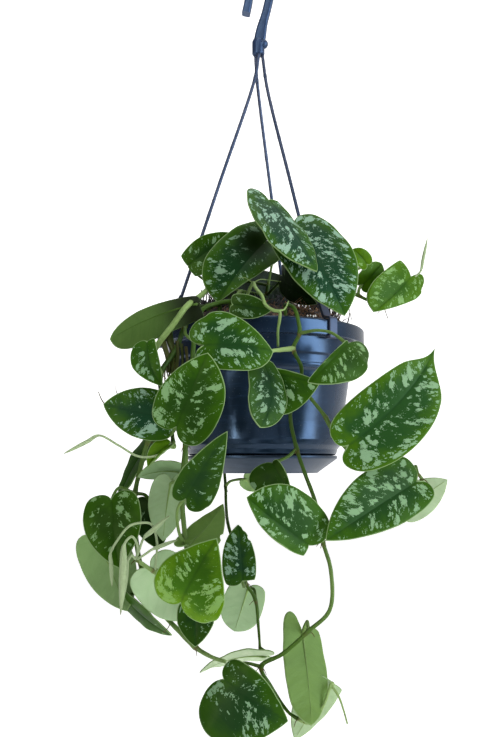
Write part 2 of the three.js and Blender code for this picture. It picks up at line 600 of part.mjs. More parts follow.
// A point of a blade's middle surface, from the row along its margin and the side reached.
function bladePoint(leaf, row, side) {
  const [, , , base, tip, width, turn, fold, bow, point, more = {}] = leaf;
  const { skew = 0, lobe = [1, 1], belly = [0, 0], neck = [0, 0], drip = [1, 1], sweep = 0 } = more;
  const half = side > 0 ? 0 : 1;
  const { length, along, across, out } = leafAxes(base, tip, turn);
  const foldAngle = THREE.MathUtils.degToRad(fold);
  const edge = OUTLINE.getPoint(row);
  const edgeY =
    edge.y < 0 ? edge.y * lobe[half] : edge.y + belly[half] * edge.y * (1 - edge.y);
  const halfWidth = (width / 2) * (1 + skew * Math.sign(side));
  const reach = Math.abs(side);
  const atBase = neck[half] * (1 - row) ** 3;
  const drawn = THREE.MathUtils.smoothstep(edgeY, drip[half], drip[half] + DRIP_REACH);
  const atTip = 1 - DRIP_NARROWING * drawn;
  const narrowing = TIP_NARROWING * point * Math.max(0, row - TIP_START) + atBase;
  const x = side * edge.x * halfWidth * (1 - narrowing) * atTip;
  const y = THREE.MathUtils.lerp(row * row, edgeY, reach);
  const arch = 4 * y * (1 - y) * length;
  const raised = Math.abs(x) * Math.sin(foldAngle) - (CUP * (x * x)) / (width / 2);
  return vec(base)
    .addScaledVector(along, y * length)
    .addScaledVector(across, x * Math.cos(foldAngle) + sweep * arch)
    .addScaledVector(out, raised + bow * arch);
}

// A leaf blade: a box of rows and columns bent to the leaf's outline and surface.
function blade(leaf) {
  const [, , , base, tip, width, turn] = leaf;
  const { out } = leafAxes(base, tip, turn);
  const columns = width > SMALL_LEAF ? LEAF_COLUMNS : 1;
  const geometry = new THREE.BoxGeometry(1, 1, 1, 2 * columns, LEAF_ROWS, 1);
  const position = geometry.attributes.position;
  for (let i = 0; i < position.count; i++) {
    const p = bladePoint(leaf, position.getY(i) + 0.5, position.getX(i) * 2);
    p.addScaledVector(out, position.getZ(i) * BLADE);
    position.setXYZ(i, p.x, p.y, p.z);
  }
  return toSolid(geometry);
}

const nearest = (places, wanted) =>
  places.reduce((a, b) => (a.distanceTo(wanted) < b.distanceTo(wanted) ? a : b)).toArray();

// The line of a stem above the soil. A branch starts on the main stem, its vine's first.
function stemLine(stems, index) {
  const points = stems[index][1].slice(1);
  if (index === 0) return points;
  return [nodeOnStem(stems, 0, stems[index][1][0]), ...points];
}

// The place on a stem's faceted line that lies nearest to the point wanted.
function nodeOnStem(stems, index, wanted) {
  const line = stemLine(stems, index);
  return nearest(smooth(line).getSpacedPoints(stepsAlong(line, STEM_STEPS)), vec(wanted));
}

function stem(stems, index) {
  const radius = stems[index][0];
  const line = rod(stemLine(stems, index), roundShape(radius, STEM_SIDES), STEM_STEPS);
  if (index > 0) return line;
  const [[x, y, foot], [, , bend]] = stems[0][1];
  return line.add(uprightCylinder(x, y, foot, bend + radius / 2, radius, STEM_SIDES));
}

// A petiole from its node on the stem through the points to its end.
function petiole(stems, [index, node, points], end, radius) {
  const start = nodeOnStem(stems, index, stems[index][1][node]);
  return rod([start, ...points, end], roundShape(radius, PETIOLE_SIDES), PETIOLE_STEPS);
}

// A leaf's petiole ends in the underside of its blade.
function leafStalk(stems, leaf) {
  const [, , , base, tip, , turn] = leaf;
  const end = bladePoint(leaf, 2 / LEAF_ROWS, 0);
  end.addScaledVector(leafAxes(base, tip, turn).out, -BLADE * 0.4);
  return petiole(stems, leaf, end.toArray(), PETIOLE_RADIUS);
}

// A young leaf still rolled up: a slim spindle on its petiole.
function rolledLeaf(stems, leaf) {
  const [, , , base, tip, radius] = leaf;
  const stalk = petiole(stems, leaf, base, ROLLED_STALK_RADIUS);
  const axis = vec(tip).sub(vec(base));
  const half = axis.length() / 2;
  const spindle = new THREE.CylinderGeometry(0.35, 0.7, half * 2, 5, 3);
  const position = spindle.attributes.position;
  for (let i = 0; i < position.count; i++) {
    const across = Math.abs(position.getY(i)) < half - 1 ? radius : 1;
    position.setX(i, position.getX(i) * across);
    position.setZ(i, position.getZ(i) * across);
  }
  const turn = new THREE.Quaternion().setFromUnitVectors(
    new THREE.Vector3(0, 1, 0),
    axis.clone().normalize(),
  );
  const middle = vec(base).addScaledVector(axis, 0.48);
  spindle.applyQuaternion(turn).translate(middle.x, middle.y, middle.z);
  return [stalk, toSolid(spindle)];
}

function buildVine({ stems, leaves, rolled }) {
  return union([
    ...stems.map((_, index) => stem(stems, index)),
    ...leaves.map((leaf) => leafStalk(stems, leaf)),
    ...leaves.map(blade),
    ...rolled.flatMap((leaf) => rolledLeaf(stems, leaf)),
  ]);
}

// ---- assembly ----
const plant = new THREE.Group();
plant.name = "satin_pothos";
plant.add(toMesh("pot", buildPot(), plastic("pot_plastic")));
plant.add(toMesh("saucer", buildSaucer(), plastic("saucer_plastic")));
plant.add(toMesh("soil", buildSoil(), peat));
plant.add(toMesh("hook", buildHook(), plastic("hook_plastic")));
for (const strand of STRANDS) {
  plant.add(toMesh(strand.name, buildStrand(strand), plastic("strand_plastic")));
}
for (const vine of VINES) {
  plant.add(toMesh(vine.name, buildVine(vine), foliage));
}

export default plant;
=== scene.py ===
import math
import random

import bpy
import numpy as np
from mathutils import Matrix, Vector, noise


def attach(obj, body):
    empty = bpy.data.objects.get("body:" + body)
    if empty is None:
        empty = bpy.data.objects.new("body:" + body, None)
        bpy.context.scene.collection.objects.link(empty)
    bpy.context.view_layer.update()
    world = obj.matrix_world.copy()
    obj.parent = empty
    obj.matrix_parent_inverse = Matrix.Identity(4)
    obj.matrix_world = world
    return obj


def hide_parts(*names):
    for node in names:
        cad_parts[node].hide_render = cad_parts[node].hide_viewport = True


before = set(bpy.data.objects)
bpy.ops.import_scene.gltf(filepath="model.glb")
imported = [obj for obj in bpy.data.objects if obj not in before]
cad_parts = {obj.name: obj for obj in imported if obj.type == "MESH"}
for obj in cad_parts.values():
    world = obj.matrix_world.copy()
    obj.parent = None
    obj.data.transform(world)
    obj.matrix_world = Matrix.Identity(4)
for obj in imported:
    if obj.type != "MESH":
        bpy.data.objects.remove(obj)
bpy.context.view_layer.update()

MM = 0.001

# ---- dimensions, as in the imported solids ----
GAP = 0.3
RIM_TOP = -286
RIM_RADIUS = 75
RIM_BAND = 11
SHOULDER_RADIUS = 68.5
SHOULDER_BOTTOM = -309
NECK_RADIUS = 67
NECK_BOTTOM = -318
BODY_TOP_RADIUS = 64
BODY_BOTTOM_RADIUS = 58
BODY_BOTTOM = -366
FOOT_RADIUS = 54
FOOT_BOTTOM = -376.4
WALL = 1.8
DRAIN_HOLES = 4
DRAIN_RADIUS = 4
DRAIN_CIRCLE = 32
SAUCER_TOP = FOOT_BOTTOM - GAP
SAUCER_BOTTOM = -389
SAUCER_TOP_RADIUS = 54.5
SAUCER_BOTTOM_RADIUS = 41.5
SAUCER_WALL = 2
SOIL_FLOOR = FOOT_BOTTOM + WALL + GAP
SOIL_CENTRE = -270
SOIL_EDGE = 65.5
# Radius and height of the soil's top, from the middle outwards.
SOIL_MOUND = [(0, SOIL_CENTRE), (22, RIM_TOP + 15), (44, RIM_TOP + 12), (58, RIM_TOP + 6),
              (SOIL_EDGE, RIM_TOP - 3)]

HOOK_BAR = (8, 6.4)
HOOK_ROUNDING = 1.7
HOOK_LINE = [
    [-11.8, -36.5], [-10.2, -29], [-9, -20], [-8.35, -11], [-8.35, -4.35], [-5.9, 1.6], [0, 4],
    [5.9, 1.6], [8.35, -4.35], [8.3, -12], [6.8, -22], [3.9, -35], [1, -46], [-1.2, -58],
]
HUB_CENTRE = (-2.2, 0)
HUB_RADIUS = 4.8
HUB_TOP = -56
HUB_BOTTOM = -70
HUB_BALL = (1.6, -1.2, -61.5)
HUB_BALL_RADIUS = 3.7

STRAND_RADIUS = 1.25
STRAND_ROOT = 5
STRANDS = [
    {"name": "strand_left", "angle": -170, "start": [-2.1, -2.4], "bend": [-4.8, -2.6, -89]},
    {"name": "strand_right", "angle": -52, "start": [1, -0.2], "bend": [4.2, -7.0, -99]},
    {"name": "strand_back", "angle": 70, "start": [-4.3, 1.4], "bend": [-3.3, 3.4, -88]},
]
STRAP_WIDTH = 6.4
STRAP_THICK = 1.5
STRAP_TOP = (60.5, -263)  # radius and height where the cord becomes the strap
STRAP_KNEE = (64, -272.5)
STRAP_LANDING = 69.5  # radius where it meets the rim's top
STRAP_CATCH = 3.5  # how far it reaches in under the rim band

BLADE = 0.9
LOBE = 0.13
CUP = 0.08
TIP_NARROWING = 1.6
TIP_START = 0.6
DRIP_NARROWING = 0.8
DRIP_REACH = 0.3
HALF_OUTLINE = [
    [0, 0], [0.17, -0.75 * LOBE], [0.43, -LOBE], [0.74, -0.6 * LOBE], [0.94, 0.08], [1, 0.28],
    [0.95, 0.48], [0.79, 0.67], [0.53, 0.83], [0.22, 0.945], [0, 1],
]

# Leafy stems. A stem is [radius, tones from its foot to its end, points]. A vine's first stem is
# rooted in the soil at its first point, and a second one branches off the first there. A leaf is
# [stem, node, petiole points, base, tip, width, turn, fold, bow, point, look, more], and its look
# is [tone, silver, petiole tone, warmth]. A rolled leaf is [stem, node, petiole points, base, tip,
# radius]. Strays are roots, fibres and brown leaf tips that hang free, each [thickness, tone,
# brown, points].
# Tone runs from -1, dark, to 1, young and lime, and warmth from 0, bluish, to 1, yellowish. The dark
# end paints aged tissue and also the shade on leaves and stems deep in the plant.
# Of more, skew widens one half, sweep curves the leaf sideways, and lobe, belly, neck and drip
# change each half: its lobe, where it is widest, and how it narrows to base and tip. Young is the
# tone added towards the base; where it is negative it paints the shade over the base. Waves is the
# height of the margin's waves, stalk the petiole's radius, bleached the whiteness of the underside,
# and nicks the torn places, each [side, row, half length, depth]. Shades are painted shadows, most
# of them cast by other leaves, each [middle across, middle up, spread, darkness, silver lost].
VINES = {
    "vine_front": {"stems": [
        [1.3, [0, 0, -0.65, -0.1, 0.4, 0.05, -0.4], [[15, -58, -296], [15, -58, -276], [17, -68, -278],
         [20, -77, -282], [22, -82, -290], [23, -82, -299], [19, -82, -309], [24, -81, -321],
         [23, -79, -332], [17, -77, -349], [21, -76, -373], [26, -80, -389], [32, -86, -407],
         [36, -88, -430], [41, -86, -448], [40, -86, -472], [27, -84, -485], [11, -82, -499],
         [-2, -80, -507], [4, -80, -519], [15, -82, -534], [20, -83, -537]]],
        [1.2, [0.2, 0.45], [[23, -79, -332], [30, -80, -341], [39, -83, -353], [47, -83, -367],
         [60, -74, -379], [82, -64, -386], [101, -60, -389], [104, -59, -392]]],
    ], "leaves": [
        # over the rim, right
        [0, 5, [[34, -87, -298], [43, -89, -300]], [53, -91, -307], [27, -110, -334], 23, 0, 0, 0.1, 0,
         [-0.35, 0.75, 0.3, 1], {"skew": -0.76, "lobe": [0.2, 2.6], "belly": [1.2, -0.4], "waves": 1.2}],
        # front, centre
        [0, 6, [[10, -90, -311], [4, -96, -313]], [-2, -98, -319], [-3, -112, -361], 33, -35, 12, 0.08,
         0.2, [-0.45, 0.75, 0.9, 0.3], {"sweep": -0.12, "skew": 0.26, "lobe": [1, 0.3],
         "belly": [0.5, 0.9], "neck": [0.9, 0.9], "stalk": 1.5}],
        # behind the front centre leaf
        [0, 8, [[14, -85, -326]], [4, -90, -325], [35, -93, -332], 29, 15, 8, 0.05, 0.2,
         [-0.25, 0.35, 0.5, 0.8], {"skew": 0.75}],
        # dark, below the rim
        [0, 10, [[15, -80, -378]], [5, -84, -382], [16, -90, -401], 24, 0, 10, 0.1, 0.2,
         [-0.5, 0.25, 0.2, 0.7], {"skew": 0.6, "lobe": [1, 0.3]}],
        # lower front
        [0, 13, [[33, -96, -429]], [26, -104, -431], [-11, -118, -402], 36, 20, 10, 0.06, 0.4,
         [0, 0.85, 0.2, 0.7], {"sweep": -0.04, "skew": 0.41, "lobe": [1.3, 0.1], "belly": [0.5, 0.2],
         "neck": [0, 0.55]}],
        # lowest right, underside
        [0, 16, [[27, -73, -481]], [24, -66, -488], [28, -90, -539], 31, 150, 8, 0.06, 0.5,
         [0.5, 0, 0.5, 0.5], {"sweep": 0.05, "lobe": [0.4, 1.5], "belly": [0.5, 0.7]}],
        # lowest centre
        [0, 18, [[-14, -76, -506]], [-25, -86, -513], [14, -88, -537], 48, 0, 4, 0.12, 0.4,
         [-0.3, 0.7, 0.2, 0.5], {"skew": 0.34, "lobe": [0.9, 0.6], "belly": [0, -0.3]}],
        # lowest, pale underside
        [0, 21, [[27, -81, -540], [36, -78, -531], [42, -72, -519]], [44, -66, -521], [19, -68, -554], 26,
         165, 8, 0.08, 0.2, [0.95, 0.7, 0.7, 0.5], {"skew": -0.2, "lobe": [0.1, 0.1], "neck": [0.6, 0.9],
         "bleached": 0.6}],
        # largest, right
        [1, 2, [[44, -88, -363]], [52, -93, -371], [111, -76, -308], 51, 0, 8, 0.06, 0,
         [0.3, 0.85, 0.35, 0.3], {"sweep": 0.06, "skew": 0.06, "lobe": [0.9, 0.4], "belly": [0, -0.5],
         "neck": [0.1, 0.8], "drip": [0.7, 0.7], "stalk": 1.3}],
        # lower right
        [1, 6, [[99, -65, -384]], [98, -72, -394], [36, -108, -428], 40, 12, 10, 0.05, 0.3,
         [0.1, 0.95, 0.1, 0.6], {"skew": 0.12, "lobe": [0.5, 0.7], "belly": [0.2, -0.1]}],
        # lower right, underside
        [1, 7, [[104, -54, -404]], [94, -52, -412], [124, -46, -393], 24, 175, 5, 0.05, 0.3,
         [1, 1, 0.3, 0.5], {"bleached": 0.8}],
    ], "strays": [
        [0.85, 0.8, 0.1, [[41, -72, -519], [46, -73, -526], [49, -73, -534], [51.5, -73, -543]]],
    ]},
    "vine_right": {"stems": [
        [1.2, [0.2], [[40, -8, -296], [40, -8, -268], [52, -9, -262], [63, -8, -257], [71, -6, -259],
         [79, -4, -262], [97, 3, -257], [111, 6, -247]]],
    ], "leaves": [
        # lime young leaf
        [0, 7, [[114, 7, -243]], [112, 4, -243], [81, -14, -273], 33, -15, 8, 0.06, 0.4,
         [0.38, 0.95, 0.6, 1], {"skew": 0.1, "lobe": [0.4, 2], "belly": [1.2, -0.9]}],
        # smallest
        [0, 3, [[66, -9, -243], [73, -11, -239]], [77, -12, -237], [66, -18, -227], 13, 0, 10, 0.1, 0,
         [0.5, 0.3, 0.5, 1], {"belly": [0.3, 0.3]}],
        # small, olive
        [0, 4, [[72, -5, -254]], [75, -2, -250], [90, 2, -233], 18, 20, 10, 0.1, 0.1, [0.3, 0.2, 0.5, 1],
         {"belly": [0.3, 0.3]}],
    ], "rolled": [
        [0, 7, [[116, 7, -242]], [120, 6, -238], [127, 10, -210], 1.3],
    ], "strays": [
        [0.42, 0, 0.7, [[92, 2, -258], [91, 0, -266], [93, -4, -276]]],
        [0.36, 0, 0.7, [[86, 0, -260], [88, -2, -268], [85, -5, -273]]],
        [0.4, 0, 0.7, [[58, -9, -260], [56, -12, -267], [53, -15, -277]]],
        [0.36, 0, 0.7, [[64, -8, -258], [63, -12, -267], [65, -15, -279]]],
    ]},
    "vine_crown": {"stems": [
        [1.8, [-0.6], [[3, 8, -296], [3, 8, -268], [4, 9, -256], [5, 10, -248]]],
    ], "leaves": [
        # tallest
        [0, 3, [[9, 16, -224], [9, -6, -205], [5, -34, -199]], [4, -50, -201], [35, -74, -257], 44, -46, 0,
         0.03, 0.3, [-0.1, 0.9, 0.3, 0], {"skew": 0.36, "lobe": [1.5, 0.1], "belly": [0.4, 0.2],
         "neck": [0.95, 0.97]}],
        # large, right
        [0, 2, [[20, -8, -242], [26, -30, -232]], [22, -47, -222], [54, -66, -285], 51, -15, 10, 0.08, 0.4,
         [0.1, 1, 0.3, 0], {"skew": -0.06, "lobe": [1, 1.2], "belly": [0.2, 0.3]}],
        # small, left
        [0, 2, [[-22, 4, -252], [-42, -8, -248]], [-54, -15, -239], [-20, -15, -215], 27, 0, 10, 0.08, 0.3,
         [0.1, 0.85, 0.3, 0.7], {"skew": 0.05, "lobe": [0.1, 0.1], "belly": [-0.2, 0],
         "neck": [0.7, 0.7]}],
        # arched, nearly black: painted shade deep in the crown
        [0, 3, [[-2, 12, -246]], [-14, 14, -244], [36, 26, -247], 32, 180, 6, 0.12, 0.3,
         [-1, 0, -0.8, 0.5], {"skew": -0.27}],
        # under the large one, dark: painted shade
        [0, 2, [[12, -6, -250]], [15, -14, -246], [38, -46, -273], 20, 50, 10, 0.1, 0.3,
         [-0.95, 0.1, -0.8, 0.5]],
    ], "strays": [
        [0.8, -0.2, 0.35, [[-5, -52, -202], [-8, -52.5, -199], [-10.5, -53, -196]]],
    ]},
    "vine_left": {"stems": [
        [1.7, [-0.6, -0.4], [[-30, -40, -296], [-30, -40, -272], [-38, -50, -275], [-47, -59, -281],
         [-52, -64, -291], [-58, -67, -308], [-67, -74, -325], [-64, -74, -345], [-60, -72, -358],
         [-58, -78, -369]]],
    ], "leaves": [
        # large, upper left; its shades paint the shadow over its base and a dull olive band along its
        # right margin, where the blade folds away from the light
        [0, 6, [[-71, -83, -313], [-68, -84, -307], [-58, -86, -294], [-50, -83, -282], [-42, -60, -270],
         [-36, -26, -256], [-18, -8, -236]], [3, -12, -220], [-31, -45, -272], 45, 0, 14, 0.06, 0.5,
         [0.15, 0.6, 0.7, 0.3], {"sweep": 0.02, "skew": 0.17, "lobe": [2.1, 1.3], "belly": [1, -0.9],
         "neck": [0.3, 0], "stalk": 1.9, "shades": [[0.25, 0.1, 0.54, 1, 1], [-0.8, 0.25, 0.6, 0.3, 1]]}],
        # left, underside; its negative young paints the shade over its base, nearly black
        [0, 3, [[-45, -68, -279]], [-42, -79, -279], [-100, -76, -302], 24, 165, 8, 0.06, 0.4,
         [0.1, 0, 0.3, 0.5], {"sweep": -0.04, "skew": 0.3, "lobe": [0, 0.2], "belly": [1, 0.6],
         "neck": [0.95, 0.95], "young": -1.1}],
        # front left
        [0, 4, [[-49, -90, -302]], [-37, -117, -312], [5, -111, -315], 36, 0, 6, 0.06, 0.3,
         [0.1, 0.95, 0.3, 0.5], {"sweep": -0.04, "skew": -0.14, "lobe": [0.8, 1.6], "belly": [0.7, -0.6]}],
        # small, left
        [0, 6, [[-78, -84, -314]], [-74, -90, -306], [-63, -98, -335], 19, 0, 8, 0.1, 0.5,
         [0, 0.85, 0.3, 0.6], {"sweep": 0.08, "skew": 0.26, "lobe": [0.5, 0.2], "belly": [0, 0.1],
         "neck": [0.4, 0.4]}],
        # left, pointing out
        [0, 7, [[-61, -79, -352]], [-61, -84, -354], [-102, -84, -345], 33, 0, 8, 0.06, 0.2,
         [-0.1, 0.7, 0.3, 0.1]],
        # large, left front
        [0, 8, [[-58, -90, -364]], [-54, -103, -360], [-34, -122, -317], 41, 0, 6, 0.06, 0.1,
         [0.05, 0.8, 0.3, 0.9], {"skew": 0.1, "lobe": [1.3, 0.7], "belly": [0.3, -0.2]}],
        # folded young leaf
        [0, 9, [[-57, -82, -372]], [-60, -84, -371], [-73, -86, -385], 15, 40, 35, 0.1, 0.4,
         [0.6, 0.2, 0.7, 0.5]],
    ], "rolled": [
        [0, 9, [[-66, -88, -377], [-78, -90, -378], [-91, -91, -371]], [-103, -92, -365],
         [-125, -96, -377], 1.3],
    ], "strays": [
        [0.46, -0.5, 0.6, [[-101, -84, -345], [-103, -85, -342], [-105, -86, -337]]],
        [0.3, 0, 0.8, [[-93, -84, -339], [-94, -84.5, -336], [-94, -85, -332.5]]],
        # Dark roots bunched at the pot's left, near black so that they also paint the shade there.
        [0.8, -0.9, 0.3, [[-57, -67, -303], [-60, -66, -312], [-62, -67, -324], [-61, -69, -337]]],
        [0.7, -0.9, 0.4, [[-58, -67, -305], [-64, -64, -314], [-65, -66, -325], [-64, -68, -334]]],
        [0.7, -0.9, 0.2, [[-57, -67, -303], [-57, -70, -316], [-59, -71, -330], [-58, -71, -342]]],
        [0.6, -0.8, 0.5, [[-60, -69, -311], [-64, -70, -318], [-62, -72, -328], [-63, -73, -338]]],
        [1.3, -1, 0.3, [[-57, -67, -302], [-56, -69, -312], [-57, -71, -326], [-56, -71, -340]]],
        [1.2, -1, 0.2, [[-54, -68, -304], [-53, -70, -315], [-54, -72, -328], [-55, -72, -340]]],
        [1.1, -1, 0.5, [[-51, -69, -306], [-50, -71, -316], [-51, -72, -326], [-53, -72, -337]]],
        [1.5, -0.9, 0.2, [[-63, -62, -290], [-62, -62, -297], [-60, -65, -304], [-58, -67, -309]]],
        [2.3, -1, 0.3, [[-67, -64, -301], [-65, -66, -306], [-63, -68, -313], [-62, -69, -323]]],
        [2.2, -1, 0.2, [[-64, -63, -297], [-62, -65, -303], [-59, -67, -311], [-60, -70, -324]]],
        [1.6, -1, 0.4, [[-60, -66, -310], [-58, -69, -320], [-59, -70, -331], [-58, -71, -340]]],
    ]},
    "vine_left_long": {"stems": [
        [1.6, [-0.3, 0.1, 0.3, 0.1, 0.6], [[-38, -28, -296], [-38, -28, -271], [-50, -38, -275],
         [-60, -46, -281], [-63, -52, -291], [-60, -56, -310], [-58, -57, -335], [-68, -54, -350],
         [-77, -50, -367], [-82, -50, -385], [-85, -54, -402], [-84, -60, -418], [-82, -58, -440],
         [-76, -54, -462], [-65, -54, -480], [-55, -60, -489], [-44, -66, -498], [-33, -72, -503],
         [-24, -76, -505]]],
    ], "leaves": [
        # dark, nearly edge on
        [0, 8, [[-78, -40, -362]], [-77, -30, -366], [-99, -32, -407], 34, 66, 6, 0.04, 0.2,
         [-0.3, 0, 0.3, 1]],
        # heart, far left
        [0, 10, [[-94, -66, -398]], [-97, -77, -405], [-89, -92, -446], 37, 0, 8, 0.08, 0.3,
         [-0.25, 0.35, 0.3, 1], {"lobe": [0.8, 0.8]}],
        # far left, underside
        [0, 11, [[-100, -52, -424]], [-111, -46, -433], [-90, -48, -479], 36, 180, 8, 0.08, 0.1,
         [0.55, 0.45, 0.3, 0.5]],
        # dark, inside
        [0, 10, [[-78, -56, -403]], [-75, -56, -407], [-68, -60, -438], 27, 0, 8, 0.08, 0.5,
         [-0.8, 0.1, -0.4, 0.5]],
        # low, dark
        [0, 13, [[-84, -50, -466]], [-91, -46, -471], [-60, -50, -494], 24, 55, 6, 0.05, 0.2,
         [-0.15, 0.15, 0.1, 1]],
        # low, dark, behind the lime heart
        [0, 16, [[-42, -70, -486]], [-43, -72, -470], [-43, -77, -496], 24, 0, 8, 0.05, 0.5,
         [-0.5, 0.45, 0.1, 0.5]],
    ], "strays": [
        [0.36, 0, 0.8, [[-60, -57, -484], [-62, -58, -488], [-65, -58, -491]]],
    ]},
    "vine_left_lower": {"stems": [
        [1.6, [-0.2, 0, 0.2, 0.7], [[-22, -46, -296], [-22, -46, -271], [-32, -57, -275], [-41, -65, -281],
         [-44, -70, -291], [-46, -74, -310], [-47, -76, -340], [-50, -78, -370], [-52, -78, -400],
         [-50, -82, -424], [-48, -84, -434], [-50, -82, -448], [-58, -80, -453], [-68, -84, -449],
         [-79, -90, -441]]],
    ], "leaves": [
        # pointed, in front
        [0, 10, [[-52, -96, -425], [-52, -110, -409]], [-47, -116, -403], [-22, -136, -364], 27, 22, 2,
         0.03, 0.4, [-0.45, 0.3, 0.5, 0.5], {"sweep": -0.03, "skew": 0.2, "lobe": [1, 0.5],
         "belly": [-0.7, -0.4]}],
        # pale underside, level
        [0, 7, [[-50, -70, -382]], [-53, -65, -388], [-82, -64, -391], 20, 130, 8, 0.1, 0,
         [0.6, 1, 0.5, 0.5]],
        # pale underside, hanging
        [0, 8, [[-56, -72, -394]], [-60, -70, -394], [-65, -66, -432], 25, 165, 8, 0.08, 0.2,
         [0.7, 0.9, 0.6, 0.5], {"bleached": 0.4}],
        # folded, underside
        [0, 10, [[-46, -88, -434]], [-47, -91, -432], [-26, -70, -408], 26, 150, 20, 0.1, 0.5,
         [0.35, 0, 0.3, 0.5], {"nicks": [[-1, 0.45, 0.04, 0.3], [-1, 0.62, 0.03, 0.2]]}],
        # large pale underside
        [0, 12, [[-64, -74, -450]], [-72, -70, -449], [-44, -64, -481], 40, 180, 8, 0.08, 0,
         [1, 1, 0.6, 0.5], {"belly": [0.2, 0.2], "bleached": 0.4}],
        # lime heart
        [0, 11, [[-52, -98, -461]], [-50, -107, -464], [-28, -126, -425], 45, 0, 8, 0.08, 0.5,
         [0.35, 0.85, 0.6, 1], {"sweep": -0.02, "skew": 0.09, "lobe": [1.1, 0.9], "belly": [-0.5, -0.1],
         "young": 0.5}],
    ], "rolled": [
        [0, 13, [[-66, -94, -429], [-69, -99, -419], [-75, -101, -418], [-82, -101, -420],
         [-88, -101, -427]], [-93, -101, -436], [-92, -99, -457], 1.3],
        [0, 14, [[-77, -101, -431], [-80, -104, -426]], [-84, -105, -430], [-86, -104, -474], 2.4],
        [0, 14, [[-76, -98, -434]], [-73, -101, -427], [-57, -102, -413], 1.6],
        [0, 14, [[-74, -96, -438]], [-68, -97, -434], [-52, -97, -428], 1.3],
        [0, 14, [[-81, -97, -438]], [-83, -97, -441], [-87, -95, -471], 1.6],
    ]},
    "vine_rim": {"stems": [
        [1.2, [0.2], [[-12, -50, -296], [-12, -50, -271], [-14, -56, -266], [-16, -62, -268]]],
        [1.1, [0.9, 0.9, 0.4], [[-12, -50, -271], [-7, -62, -262], [-5, -74, -268], [-1, -82, -275],
         [1, -85, -281], [6, -87, -285], [10, -87, -286], [10, -86, -291], [9, -85, -297],
         [9, -84, -308]]],
    ], "leaves": [
        # small, at the rim
        [0, 3, [[-19, -74, -275]], [-20, -80, -280], [5, -81, -284], 16, 10, 8, 0.06, 0.2,
         [-0.5, 1, 0.3, 0.5], {"lobe": [0.5, 0.5]}],
    ], "strays": [
        [0.42, 0.7, 0.1, [[-7, -62, -262], [-2, -60, -259], [4, -58, -259], [12, -58, -260]]],
        [0.36, 0.7, 0.1, [[-7, -62, -262], [-12, -61, -258], [-17, -60, -258]]],
        [0.75, 0.8, 0, [[9, -86, -285], [13, -84, -284], [16, -82, -278]]],
    ]},
    "vine_back_long": {"stems": [
        [1.2, [-0.3, -0.2, 0.15], [[-20, 40, -296], [-20, 40, -271], [-26, 56, -273], [-31, 71, -281],
         [-34, 79, -292], [-34, 80, -320], [-32, 77, -350], [-30, 70, -380], [-28, 56, -400],
         [-27, 40, -416], [-24, 12, -430], [-17, 0, -448], [-12, -6, -466], [-5, -6, -478],
         [-3, -10, -495], [-2, -22, -508]]],
    ], "leaves": [
        # dark, lower centre
        [0, 12, [[-13, -14, -468]], [-14, -22, -463], [-17, -28, -424], 24, 10, 8, 0.06, 0,
         [-0.35, 0.75, 0.2, 0.1], {"skew": -0.16, "lobe": [0, 0.5], "belly": [0, 0.1],
         "nicks": [[1, 0.75, 0.03, 0.25], [1, 0.86, 0.03, 0.3]]}],
        # pale underside
        [0, 13, [[-6, 2, -472]], [-10, 8, -472], [-20, 10, -503], 30, 180, 5, 0.06, 0, [1, 1, 0.2, 0.5],
         {"belly": [0.6, 0.6], "bleached": 0.3}],
        # edge on
        [0, 15, [[3, -30, -510]], [1, -36, -510], [-42, -44, -519], 26, 118, 6, 0.08, 0.2,
         [1, 0.8, 0.2, 0.5], {"bleached": 1}],
        # small, pale
        [0, 8, [[-24, 52, -396]], [-13, 50, -394], [0, 52, -403], 14, 180, 8, 0.1, 0.3,
         [1, 0.3, 0.4, 0.5]],
    ]},
    "vine_back_right": {"stems": [
        [1.4, [0], [[34, 38, -296], [34, 38, -271], [44, 52, -274], [51, 59, -281], [56, 66, -292],
         [54, 68, -315], [48, 72, -340], [42, 74, -365]]],
    ], "leaves": [
        [0, 4, [[58, 74, -290]], [56, 80, -294], [44, 92, -332], 34, 180, 10, 0.08, 0.3,
         [0, 0.7, 0.2, 0.5]],
        [0, 6, [[44, 82, -342]], [38, 86, -346], [30, 88, -378], 28, 180, 10, 0.08, 0.3,
         [0.1, 0.75, 0.2, 0.5]],
        [0, 1, [[37, 40, -258]], [38, 46, -250], [37, 62, -216], 26, 175, 10, 0.1, 0.3,
         [-0.7, 0.5, -0.3, 0.5]],
    ]},
    "vine_back_left": {"stems": [
        [1.4, [0], [[-6, 44, -296], [-6, 44, -271], [-6, 60, -274], [-4, 75, -281], [-2, 84, -292],
         [2, 84, -318], [8, 80, -345], [10, 76, -370]]],
    ], "leaves": [
        [0, 4, [[-4, 92, -292]], [-8, 96, -298], [-18, 102, -340], 36, 180, 10, 0.08, 0.3,
         [-0.1, 0.7, 0.2, 0.5]],
        [0, 6, [[8, 90, -346]], [6, 94, -350], [0, 96, -384], 28, 180, 10, 0.08, 0.3,
         [0.1, 0.75, 0.2, 0.5]],
        [0, 1, [[-10, 50, -256]], [-14, 54, -250], [-34, 66, -270], 34, 150, 10, 0.1, 0.3,
         [-0.7, 0.5, -0.3, 0.5]],
    ]},
}


# ---- nodes ----
class Value:
    """A node's output, for sums that read as sums."""

    def __init__(self, look, socket):
        self.look, self.socket = look, socket

    def __add__(self, other):
        return self.look.math("ADD", self, other)

    def __sub__(self, other):
        return self.look.math("SUBTRACT", self, other)

    def __mul__(self, other):
        return self.look.math("MULTIPLY", self, other)

    def __abs__(self):
        return self.look.math("ABSOLUTE", self)


